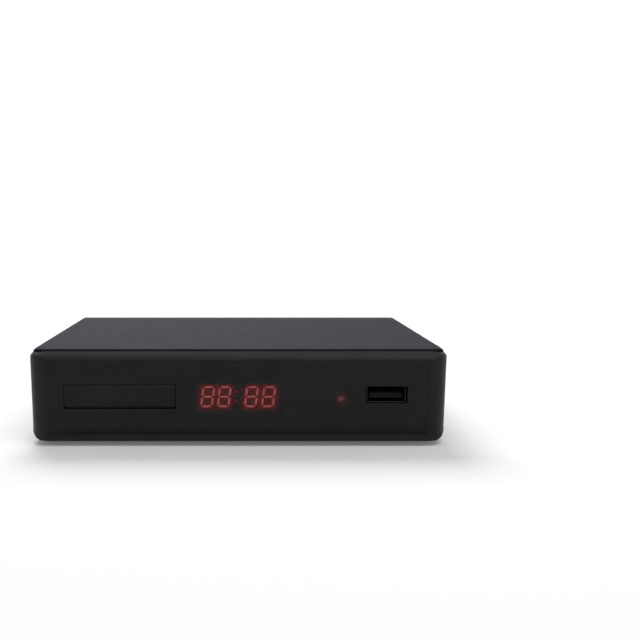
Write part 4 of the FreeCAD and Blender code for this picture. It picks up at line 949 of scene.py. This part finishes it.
def bezel_inside():
    """Inside of the front, as four shells: the wall behind the window with its openings, the flap's pocket,
    the pocket's floor with a slot for each button, and the skirt that goes into the cover."""
    middle = (window_low + window_high) / 2
    backing = cut_plate([
        rounded(0, middle, 2 * (window_half + wall_overlap), window_high - window_low + 2 * wall_overlap,
                window_corner),
        flap_outline(flap_gap + pocket_wall / 2), usb_slot_outline(),
        rounded(0, display_height, *display_view, display_view_corner),
        circle(led_x, led_height, led_radius + led_hole_gap, 32),
        circle(infrared_x, infrared_height, infrared_hole, 32),
    ], window_back, wall_back - window_back, wall_edge)
    outer = flap_outline(flap_gap + pocket_wall)
    mouth = flap_outline(flap_gap)
    pocket_end = pocket_depth + pocket_floor
    pocket = tube(rings_at([outer, outer, flap_outline(flap_gap + pocket_edge), mouth, mouth],
                           (pocket_end, 0, 0, pocket_edge, pocket_end)))
    slots = [rounded(x, button_height, button_width + 2 * button_gap, button_tall + 2 * button_gap,
                     button_corner) for x in button_centres]
    floor = cut_plate([flap_outline(flap_gap + pocket_wall / 2)] + slots, pocket_depth, pocket_floor,
                      pocket_edge)
    outside = rounded(0, (skirt_top + skirt_bottom) / 2, 2 * skirt_half, skirt_top - skirt_bottom,
                      skirt_corner, 7)
    inside = rounded(0, (cavity_top + cavity_bottom) / 2, 2 * cavity_half, cavity_top - cavity_bottom,
                     cavity_corner, 7)
    skirt = tube(rings_at([outside, outside, inside, inside], (wall_back, skirt_end, skirt_end, wall_back)))
    return [backing, pocket, floor, skirt]


finish_piece("bezel_shell", [bezel_skin()], "front_bezel", "case")
finish_piece("bezel_inner", bezel_inside(), "front_bezel", "case")
finish_piece("smoked_window", [cut_plate([
    rounded(0, (window_low + window_high) / 2, 2 * window_half, window_high - window_low, window_corner),
    flap_outline(flap_gap + pocket_wall + window_joint), usb_slot_outline(),
], 0, window_thickness, window_edge)], "front_window", "case")


# ---------------------------------------------------------------- flap
def flap_section(inset):
    """Side view of the flap, depth and height, pulled in by inset: bevelled top, flat front, and a lower edge
    that goes round the hinge's axis as a circle of the barrel's radius up to the flat back."""
    hinge_depth = barrel_radius - flap_proud
    hinge = flap_low + barrel_radius
    back_angle = math.degrees(math.acos((flap_back - hinge_depth) / barrel_radius))
    turn = arc(180, 360 + back_angle, 15)
    reach = barrel_radius - inset
    barrel = np.stack([hinge_depth + reach * np.cos(turn), hinge + reach * np.sin(turn)], axis=-1)
    bevel = flap_bevel - inset
    high = flap_high - inset
    plate = [(flap_back - inset, high), (-flap_proud + inset + bevel, high),
             (-flap_proud + inset, high - bevel)]
    return np.concatenate([barrel, plate])


def flap_solid():
    """The flap's side view swept along x; its front corners at the ends are bevelled as its top is."""
    end_inset = flap_bevel * 0.99    # just short of closing the bevel at the ends
    rings = []
    for x, inset in ((flap_left, end_inset), (flap_left + flap_bevel, 0.0), (flap_right - flap_bevel, 0.0),
                     (flap_right, end_inset)):
        section = flap_section(inset)
        rings.append(at(x, section[:, 0], section[:, 1]))
    return tower(np.array(rings))


finish_piece("drop_flap", [flap_solid()], "control_flap", "flap", sharp=25.0)


# ---------------------------------------------------------------- steel cover
def cover_skin():
    """Bent sheet: the arch (side, bend, top, bend, side) carried back from the front edge.

    The front edge follows the plan: straight between its round corners, and further back on the two sides. On
    top it is drawn down by a power of how near a point lies to it. Cells where a vent goes through the side
    are left out."""
    tolerance = 1e-6
    bend = arc(0, 90, 10)
    side = np.array([cover_side_low, vent_low, vent_high])
    left = np.concatenate([
        np.stack([np.full(3, -cover_half), side], axis=-1),
        np.stack([-cover_half + cover_bend * (1 - np.cos(bend)), cover_top - cover_bend * (1 - np.sin(bend))],
                 axis=-1)])
    flat = -(cover_half - cover_corner) + cover_corner * np.sin(arc(0, -50, 8))[::-1]
    flat = flat[flat > left[-1, 0] + 0.1]
    left = np.concatenate([left, np.stack([flat, np.full(len(flat), cover_top)], axis=-1)])
    outline = np.concatenate([left, left[::-1] * (-1, 1)])
    over = np.maximum(np.abs(outline[:, 0]) - (cover_half - cover_corner), 0)
    front = cover_front + cover_corner - np.sqrt(np.maximum(cover_corner ** 2 - over ** 2, 0))
    front = np.where(outline[:, 1] <= cover_top - cover_bend + tolerance, cover_cheek_back, front)
    vents = vent_first + vent_pitch * np.arange(vent_count)
    depths = np.concatenate([[vent_rows_start], np.stack([vents, vents + vent_width], axis=-1).ravel(),
                             [cover_sheet_end]])
    share = np.array([0.0, 0.08, 0.2, 0.35, 0.55, 0.75])[:, None]
    near = front + (cover_cheek_back - 0.1 + share - front) * share
    near = np.where(front >= cover_cheek_back, cover_cheek_back + 0.9 * share, near)
    rows = np.concatenate([near, np.repeat(depths[:, None], len(outline), axis=1)])
    on_top = outline[:, 1] > cover_top - cover_bend
    drop = cover_roll_drop * np.clip(1 - (rows - front) / cover_roll, 0, 1) ** cover_roll_power
    grid = at(outline[None, :, 0], rows, outline[None, :, 1] - drop * on_top)
    keep = np.ones((len(rows) - 1, len(outline) - 1), dtype=bool)
    first_vent = len(share) + 1
    keep[first_vent:first_vent + 2 * vent_count:2, (1, -2)] = False
    return skin(grid, keep)


def cover_lip():
    """Lip down the back: the arch drawn in a little at the top as it goes round the rear bend."""
    turn = arc(0, 90, 8)
    falls = cover_lip_radius * (1 - np.cos(turn))
    outlines = [arch(cover_half, cover_lip_low, cover_top - fall, cover_bend) for fall in falls]
    return tower(rings_at(outlines, case_depth - cover_lip_radius * (1 - np.sin(turn))))


cover_sheet = finish_piece("cover_sheet", [cover_skin()], "top_cover", "case")
add_modifier(cover_sheet, "SOLIDIFY", thickness=cover_thickness * MM, offset=-1.0, use_even_offset=True)
add_modifier(cover_sheet, "BEVEL", width=cover_edge * MM, segments=2, limit_method="ANGLE",
             angle_limit=math.radians(50))
finish_piece("cover_lip", [cover_lip()], "top_cover", "case")


# ---------------------------------------------------------------- feet and buttons
def foot(x, depth):
    """Moulded foot: a low cone with a round lower edge and a shallow dish below, turned about its axis."""
    angle = np.linspace(0, 2 * math.pi, 48, endpoint=False)
    turn = arc(0, 90, 6)
    radii = np.concatenate([[foot_radius], foot_radius - foot_edge * (1 - np.cos(turn)),
                            [foot_radius - foot_rim, *foot_dish_radii]])
    heights = np.concatenate([[0.0], -foot_height + foot_edge * (1 - np.sin(turn)),
                              [-foot_height, foot_dish - foot_height, foot_dish - foot_height]])
    return tower(np.array([at(x + radius * np.cos(angle), depth + radius * np.sin(angle), height)
                           for radius, height in zip(radii, heights)]))


finish_piece("moulded_feet", [foot(*place) for place in foot_places], "rubber_feet", "case")

for centre, node_name, body in zip(button_centres, button_names, button_bodies):
    head = block(centre, button_height, (button_width, button_tall), button_corner - button_gap,
                 button_front, flange_front + overlap, button_edge, softening=0.5)
    flange = block(centre, button_height, (button_width + 2 * button_flange, button_tall + 2 * button_flange),
                   flange_corner, flange_front, flange_back, flange_edge)
    finish_piece(node_name.replace("button", "key"), [head, flange], node_name, body)


# ---------------------------------------------------------------- lamp and USB socket
def lamp():
    """Round lamp: half a sphere at its tip, a barrel and a foot flange, turned about its axis."""
    turn = arc(8, 90, 12)
    radii = np.concatenate([led_radius * np.sin(turn), [led_radius, led_flange_radius, led_flange_radius]])
    flange = led_back - led_flange_height
    depths = np.concatenate([led_tip + led_radius * (1 - np.cos(turn)), [flange, flange, led_back]])
    return tower(rings_at([circle(led_x, led_height, radius, 40) for radius in radii], depths))


def usb_ring(inset):
    """Outline of the USB socket's can, pulled in by inset."""
    return rounded(usb_x, usb_height, usb_shell[0] - 2 * inset, usb_shell[1] - 2 * inset, usb_corner - inset)


def usb_blade():
    """Tongue of the USB socket, and the root that holds it in the can."""
    tongue = block(usb_x, usb_tongue_low + usb_tongue_thickness / 2, (usb_tongue_width, usb_tongue_thickness),
                   usb_tongue_corner, usb_tongue_front, front_board_depth, usb_tongue_edge)
    root = block(usb_x, usb_height, (usb_shell[0] - 2 * usb_root_gap, usb_shell[1] - 2 * usb_root_gap),
                 usb_root_corner, front_board_depth - usb_root_length, front_board_depth, usb_root_edge)
    return [tongue, root]


finish_piece("standby_lamp", [lamp()], "standby_led", "case")
finish_piece("usb_can", [folded_can(usb_ring, usb_shell_wall, front_board_depth, usb_shell_front,
                                    usb_shell_edge)], "usb_shell", "case")
finish_piece("usb_blade", usb_blade(), "usb_tongue", "case")


# ---------------------------------------------------------------- clock display
def bars():
    """Each bar of the digits: its digit's middle, its place in the digit, half its length, and if upright."""
    half_wide = (digit_width - digit_stroke) / 2
    half_tall = (digit_tall - digit_stroke) / 4
    listed = []
    for digit in digit_centres:
        for level in (-2, 0, 2):
            listed.append((digit, 0.0, level * half_tall, half_wide - digit_gap, False))
        for side in (-1, 1):
            for level in (-1, 1):
                listed.append((digit, side * half_wide, level * half_tall, half_tall - digit_gap, True))
    return listed


def leaning(digit, x, height):
    """A digit's point moved right by the slant's tangent times its height over the digit's middle."""
    return digit + x + math.tan(math.radians(digit_slant)) * height, display_height + height


def bar_outline(bar, inset):
    """Six-cornered outline of a bar with pointed ends, pulled in by inset."""
    digit, x, height, reach, upright = bar
    reach = reach - math.sqrt(2) * inset
    half = digit_stroke / 2 - inset
    along = np.array([-reach, half - reach, reach - half, reach, reach - half, half - reach])
    across = np.array([0, half, half, 0, -half, -half])
    dx, dh = (across, along) if upright else (along, across)
    return np.stack(leaning(digit, x + dx, height + dh), axis=-1)


def bar_distance(points):
    """Distance in millimetres from each point, seen from the front, to the middle line of every bar.

    The nearest point of a line lies where the dot product with its direction falls, kept between its ends."""
    ends = []
    for digit, x, height, reach, upright in bars():
        run = reach - digit_stroke / 2
        step = (0, run) if upright else (run, 0)
        ends.append([leaning(digit, x + way * step[0], height + way * step[1]) for way in (-1, 1)])
    ends = np.array(ends)
    start = ends[:, 0]
    along = ends[:, 1] - start
    offset = points[:, None, :] - start[None]
    share = np.clip((offset * along).sum(-1) / (along ** 2).sum(-1), 0, 1)
    return np.hypot(*np.moveaxis(offset - share[..., None] * along, -1, 0))


def store_light(piece, light):
    """Keeps light(points) as the attribute light; points are x and height in millimetres."""
    mesh = piece.data
    places = np.empty(len(mesh.vertices) * 3)
    mesh.vertices.foreach_get("co", places)
    places = places.reshape(-1, 3)[:, [0, 2]] / MM - (0, foot_height)
    mesh.attributes.new("light", "FLOAT", "POINT").data.foreach_set("value", light(places).astype(np.float32))


def flat_fronted(outlines):
    """Solid for a light guide: the first outline is its side, and the others draw in over its flat front."""
    depths = [segment_back, segment_front + segment_edge] + [segment_front] * (len(outlines) - 1)
    return tower(rings_at([outlines[0]] + outlines, depths))


def bar_solid(bar):
    """Bar with a flat front whose rings draw in towards its middle line."""
    return flat_fronted([bar_outline(bar, inset)
                         for inset in (0.0, segment_edge, 0.16, 0.28, 0.4, digit_stroke / 2 - 0.02)])


def colon_dot(side):
    """Round dot of the colon: rings that draw in towards its middle."""
    x, height = leaning(colon_x, 0.0, side * colon_spread)
    return flat_fronted([circle(x, height, radius, 24)
                         for radius in (colon_dot_radius, colon_dot_radius - segment_edge, 0.3, 0.12)])


def bar_light(points):
    """1 on a bar's middle line, 0 at its edge; the colon's dots lie away from the bars and stay dim."""
    return np.clip(1 - bar_distance(points).min(axis=1) / (digit_stroke / 2), 0, 1)


def painted_spill_glow(points):
    """Painted glow round the bars, standing for the light that they throw on their surroundings: the sum over
    all bars of e to the minus distance over the spread, squared, taken through 1 less e to the minus gain
    times the sum, so that it never passes 1."""
    spread = 1.0
    gain = 1.9
    return 1 - np.exp(-gain * np.exp(-(bar_distance(points) / spread) ** 2).sum(axis=1))


def display_block():
    """Housing: a box whose front is a fine grid; the grid's outermost line is folded back as its sides."""
    across, up = 121, 43
    half_wide = display_width / 2
    half_tall = display_tall / 2
    x = np.linspace(-half_wide, half_wide, across)
    height = np.linspace(-half_tall, half_tall, up)
    x = np.concatenate([x[:1], x, x[-1:]])
    height = np.concatenate([height[:1], height, height[-1:]])
    depth = np.full((len(height), len(x)), display_front)
    depth[[0, -1], :] = front_board_depth
    depth[:, [0, -1]] = front_board_depth
    grid = at(x[None, :], depth, display_height + height[:, None])
    points, faces = skin(grid)
    rows, columns = depth.shape
    number = np.arange(rows * columns).reshape(rows, columns)
    faces.append(np.concatenate([number[0], number[1:, -1], number[-1, -2::-1], number[-2:0:-1, 0]]).tolist())
    return points, faces


# The housing's red glow round the digits is painted: emission from the spill stored on its mesh.
display_face = finish_piece("display_face", [display_block()], "display_housing", "case")
store_light(display_face, painted_spill_glow)
digit_bars = finish_piece("digit_bars", [bar_solid(bar) for bar in bars()] + [colon_dot(-1), colon_dot(1)],
                          "display_segments", "case")
store_light(digit_bars, bar_light)


# ---------------------------------------------------------------- sockets at the back
def turned(x, height, profile, count=48):
    """Rings of a part turned about an axis that runs back, from its depths and radii in turn."""
    angle = np.linspace(0, 2 * math.pi, count, endpoint=False)
    return np.array([at(x + radius * np.cos(angle), depth, height + radius * np.sin(angle))
                     for depth, radius in profile])


def threaded_barrel(x):
    """Aerial connector: flange, plain root, relief groove, thread and bore.

    The thread's radius is the outer radius less a depth times a wave that climbs one pitch a turn."""
    angle = np.linspace(0, 2 * math.pi, 48, endpoint=False)
    lines = np.linspace(thread_start, thread_end, int((thread_end - thread_start) / thread_pitch * 8))
    phase = lines[:, None] / thread_pitch - angle[None, :] / (2 * math.pi)
    wave = np.clip(thread_slope * np.abs(phase - np.floor(phase + 0.5)), 0, 1)
    fade = np.minimum(1, np.minimum(lines - thread_start, thread_end - lines) / thread_fade)[:, None]
    radius = connector_radius - thread_depth * wave * fade
    thread = at(x + radius * np.cos(angle), lines[:, None], connector_height + radius * np.sin(angle))
    groove = connector_radius - groove_depth
    root = turned(x, connector_height, [
        (connector_flange_front, connector_flange_bore), (connector_flange_front, connector_flange_radius),
        (connector_flange_back, connector_flange_radius), (connector_flange_back, connector_radius),
        (groove_start, connector_radius), (groove_start, groove), (thread_start - overlap, groove)])
    mouth = turned(x, connector_height, [
        (connector_tip, connector_radius - connector_tip_bevel),
        (connector_tip, connector_bore + connector_bore_bevel),
        (connector_tip - connector_bore_bevel, connector_bore), (connector_bore_front, connector_bore)])
    return tower(np.concatenate([root, thread, mouth]))


def hexagon_nut(x):
    """Nut whose corners are turned off at 30 degrees: the chamfer's depth is the slope times how far the
    hexagon reaches past the circle inside its flats."""
    angle = np.linspace(0, 2 * math.pi, 96, endpoint=False)
    side = math.radians(60)
    flat = nut_flats / 2
    reach = flat / np.cos(angle % side - side / 2)
    chamfer = (reach - flat) * chamfer_slope + nut_least_chamfer
    bore = connector_radius + running_gap
    rows = []
    for end, inward in ((nut_start, 1), (nut_end, -1)):
        rows += [(bore, end + inward * nut_bore_bevel), (bore + nut_bore_bevel, end),
                 (flat - nut_face_inset, end), (reach, end + inward * chamfer)][::inward]
    return tube(np.array([at(x + radius * np.cos(angle), depth, connector_height + radius * np.sin(angle))
                          for radius, depth in rows]))


def washer(x):
    """Flat ring with rounded outer edges."""
    bore = connector_radius + running_gap
    edge = washer_radius - washer_edge
    return tube(turned(x, connector_height, [
        (rear_outer, bore), (rear_outer, edge), (rear_outer + washer_edge, washer_radius),
        (nut_start - washer_edge, washer_radius), (nut_start, edge), (nut_start, bore)], 72))


def coaxial_ring():
    """Outer contact of the coaxial socket: tube with a collar against the panel and a rolled tip."""
    roll = coax_wall / 2
    tip = [(coax_tip - roll * (1 - math.sin(t)), coax_radius - roll * (1 - math.cos(t)))
           for t in arc(0, 180, 9)]
    panel = rear_outer + running_gap
    edge = coax_collar_radius - coax_collar_edge
    return tube(turned(coax_x, coax_height, [
        (coax_front, coax_radius - coax_wall), (coax_front, coax_radius), (panel, coax_radius), (panel, edge),
        (coax_collar_start, coax_collar_radius), (coax_collar_end - coax_collar_edge, coax_collar_radius),
        (coax_collar_end, edge), (coax_collar_end, coax_radius)] + tip, 64))


def coaxial_plug():
    """Insulator inside it, with the hole for the middle contact; the hole's mouth is countersunk."""
    edge = coax_radius - coax_wall
    return tower(turned(coax_x, coax_height, [
        (coax_front, edge), (coax_plug_tip - coax_plug_bevel, edge), (coax_plug_tip, edge - coax_plug_bevel),
        (coax_plug_tip, coax_contact_radius + coax_countersink),
        (coax_plug_tip - coax_countersink, coax_contact_radius),
        (coax_plug_tip - coax_contact_depth, coax_contact_radius)], 64))


def inlet_body():
    """Round nose of the power inlet with a countersunk bore, and the block that it stands on, open where the
    bore runs in."""
    nose = tower(turned(inlet_x, inlet_axis, [
        (inlet_block_back - inlet_nose_overlap, inlet_nose_radius),
        (rear_outer - inlet_nose_bevel, inlet_nose_radius),
        (rear_outer, inlet_nose_radius - inlet_nose_bevel),
        (rear_outer, inlet_bore + inlet_countersink), (rear_outer - inlet_countersink, inlet_bore),
        (rear_outer - inlet_bore_depth, inlet_bore)]))
    outline = rounded(inlet_x, board_top + inlet_size[1] / 2, *inlet_size, inlet_block_corner)
    return [nose, cut_plate([outline, circle(inlet_x, inlet_axis, inlet_bore)], inlet_block_front,
                            inlet_block_back - inlet_block_front, inlet_block_edge)]


def inlet_pin():
    """Pin on the inlet's floor with a domed tip: radius times the cosine, length times the sine."""
    floor = rear_outer - inlet_bore_depth
    dome = [(floor + inlet_pin_length - inlet_pin_radius * (1 - math.sin(t)), inlet_pin_radius * math.cos(t))
            for t in arc(0, 84, 8)]
    return tower(turned(inlet_x, inlet_axis, [(floor, inlet_pin_radius)] + dome, 32))


def keyed(x, size, low, key, inset, radius):
    """Closed rectangle whose two lower corners are cut off; each corner is a quadratic Bezier curve between
    the points one radius before and after it."""
    wide = size[0] / 2 - inset
    bottom = low + inset
    top = low + size[1] - inset
    key = key - inset * key_shrink
    corners = np.array([(key - wide, bottom), (wide - key, bottom), (wide, bottom + key), (wide, top),
                        (-wide, top), (-wide, bottom + key)])
    before, after = (np.roll(corners, way, axis=0) - corners for way in (1, -1))
    enter = corners + before / np.linalg.norm(before, axis=1, keepdims=True) * radius
    leave = corners + after / np.linalg.norm(after, axis=1, keepdims=True) * radius
    t = np.linspace(0, 1, 5)[:, None]
    curves = (1 - t) ** 2 * enter[:, None] + 2 * t * (1 - t) * corners[:, None] + t ** 2 * leave[:, None]
    return curves.reshape(-1, 2) + (x, 0)


def scart_body():
    """Housing of the AV socket: block behind the mouth, walls of the mouth, and the core with its slots."""
    middle = board_top + scart_size[1] / 2
    mouth = keyed(scart_x, scart_mouth, middle - scart_mouth[1] / 2, scart_key, 0, scart_key_corner)
    walls = cut_plate([rounded(scart_x, middle, *scart_size, scart_corner), mouth],
                      scart_floor, scart_back - scart_floor, scart_edge)
    back = block(scart_x, middle, scart_size, scart_corner, scart_front, scart_floor + scart_joint,
                 scart_core_edge)
    places = (np.arange(scart_slot_count) - (scart_slot_count - 1) / 2) * scart_slot_pitch
    slots = [rounded(scart_x + row * scart_slot_pitch / 4 + place, middle + row * scart_row_spread,
                     *scart_slot, scart_slot_corner, 2) for row in (-1, 1) for place in places]
    core = cut_plate([rounded(scart_x, middle, *scart_core, scart_core_corner)] + slots,
                     scart_slot_front, scart_core_back - scart_slot_front, scart_core_edge)
    root = block(scart_x, middle, scart_core, scart_core_corner, scart_floor - overlap,
                 scart_slot_front + scart_joint, scart_root_edge)
    return [walls, back, core, root]


def hdmi_ring(inset):
    """Keyed outline of the digital picture socket's can, pulled in by inset."""
    return keyed(hdmi_x, hdmi_size, board_top, hdmi_key, inset, hdmi_corner - inset)


for name, shells, node_name, slot_name, sharp in (
        ("threaded_barrels", [threaded_barrel(x) for x in connector_places], "f_barrels",
         "connector_nickel", 40.0),
        ("hexagon_nuts", [hexagon_nut(x) for x in connector_places], "f_nuts", "connector_nickel", 28.0),
        ("flat_washers", [washer(x) for x in connector_places], "f_washers", "connector_nickel", 35.0),
        ("coaxial_ring", [coaxial_ring()], "coax_barrel", "connector_nickel", 35.0),
        ("coaxial_plug", [coaxial_plug()], "coax_insulator", "coax_plastic", 35.0),
        ("inlet_body", inlet_body(), "power_inlet", "socket_plastic", 35.0),
        ("inlet_pin", [inlet_pin()], "power_pin", "connector_nickel", 35.0),
        ("scart_body", scart_body(), "scart_housing", "socket_plastic", 35.0),
        ("hdmi_can", [folded_can(hdmi_ring, hdmi_wall, hdmi_front, hdmi_back, hdmi_edge)], "hdmi_shell",
         "socket_steel", 35.0)):
    finish_piece(name, shells, node_name, "case", sharp)


# ---------------------------------------------------------------- stage, light and camera
scene = bpy.context.scene


def seen_share(tree):
    """1 for the rays by which the camera sees a thing, straight, through glass or in a mirror, else 0."""
    path = add(tree, "LightPath")
    seen = path.outputs["Is Camera Ray"]
    for ray in ("Is Transmission Ray", "Is Glossy Ray"):
        seen = add(tree, "Math", {0: seen, 1: path.outputs[ray]}, operation="MAXIMUM").outputs[0]
    return seen


def studio_floor():
    """Plain pale floor, far wider than the view, that is plain white where it lies away from the object."""
    reach, near, far, shine = 6.0, 0.16, 0.5, 0.12
    mesh = bpy.data.meshes.new("floor")
    mesh.from_pydata([(-reach, -reach, 0), (reach, -reach, 0), (reach, reach, 0), (-reach, reach, 0)], [],
                     [(0, 1, 2, 3)])
    floor = bpy.data.objects.new("floor", mesh)
    scene.collection.objects.link(floor)
    material, tree, place = start_material("pale_paper")
    paper = add(tree, "BsdfDiffuse", {"Color": linear("#F4F4F4")})
    white, sheen = [add(tree, "Emission", {"Color": (1, 1, 1, 1), "Strength": level})
                    for level in (1.0, shine)]
    away = add(tree, "VectorMath", {0: place}, operation="LENGTH")
    fade = add(tree, "MapRange", {"Value": away.outputs["Value"], "From Min": near, "From Max": far},
               interpolation_type="SMOOTHSTEP")
    bright = add(tree, "AddShader", {0: paper.outputs[0], 1: sheen.outputs[0]})
    both = add(tree, "MixShader", {0: fade.outputs[0], 1: bright.outputs[0], 2: white.outputs[0]})
    mix = add(tree, "MixShader", {0: seen_share(tree), 1: paper.outputs[0], 2: both.outputs[0]})
    mesh.materials.append(close_material(material, tree, mix))


def studio_world():
    """White surroundings: full white to the camera and in reflections, softer as a light."""
    world = bpy.data.worlds.new("studio")
    scene.world = world
    world.use_nodes = True
    tree = world.node_tree
    tree.nodes.clear()
    level = add(tree, "MapRange", {"Value": seen_share(tree), "To Min": 0.35, "To Max": 1.0})
    sky = add(tree, "Background", {"Color": (1, 1, 1, 1), "Strength": level.outputs[0]})
    add(tree, "OutputWorld", {"Surface": sky.outputs[0]})


def softbox(name, place, size, power):
    """Square soft lamp that points at the origin; its place and size are in metres."""
    light = bpy.data.lights.new(name, "AREA")
    light.size = size
    light.energy = power
    fitting = bpy.data.objects.new(name, light)
    fitting.location = place
    fitting.rotation_euler = (-Vector(place)).to_track_quat("-Z", "Y").to_euler()
    scene.collection.objects.link(fitting)


studio_floor()
studio_world()
softbox("key_softbox", (-0.16, 0.62, 0.82), 0.55, 7.4)
softbox("overhead_softbox", (0.2, -0.28, 0.78), 0.5, 1.8)

camera_data = bpy.data.cameras.new("camera")
camera_data.lens = 43.03
camera_data.sensor_width = 36.0
camera_data.shift_x = 0.1275
camera_data.shift_y = 0.06
camera_data.clip_start = 0.01
camera = bpy.data.objects.new("camera", camera_data)
camera.location = (0, -0.2992, 0.0742)
camera.rotation_euler = (math.radians(90 - 10.06), 0, 0)
scene.collection.objects.link(camera)
scene.camera = camera
scene.view_settings.view_transform = "Standard"
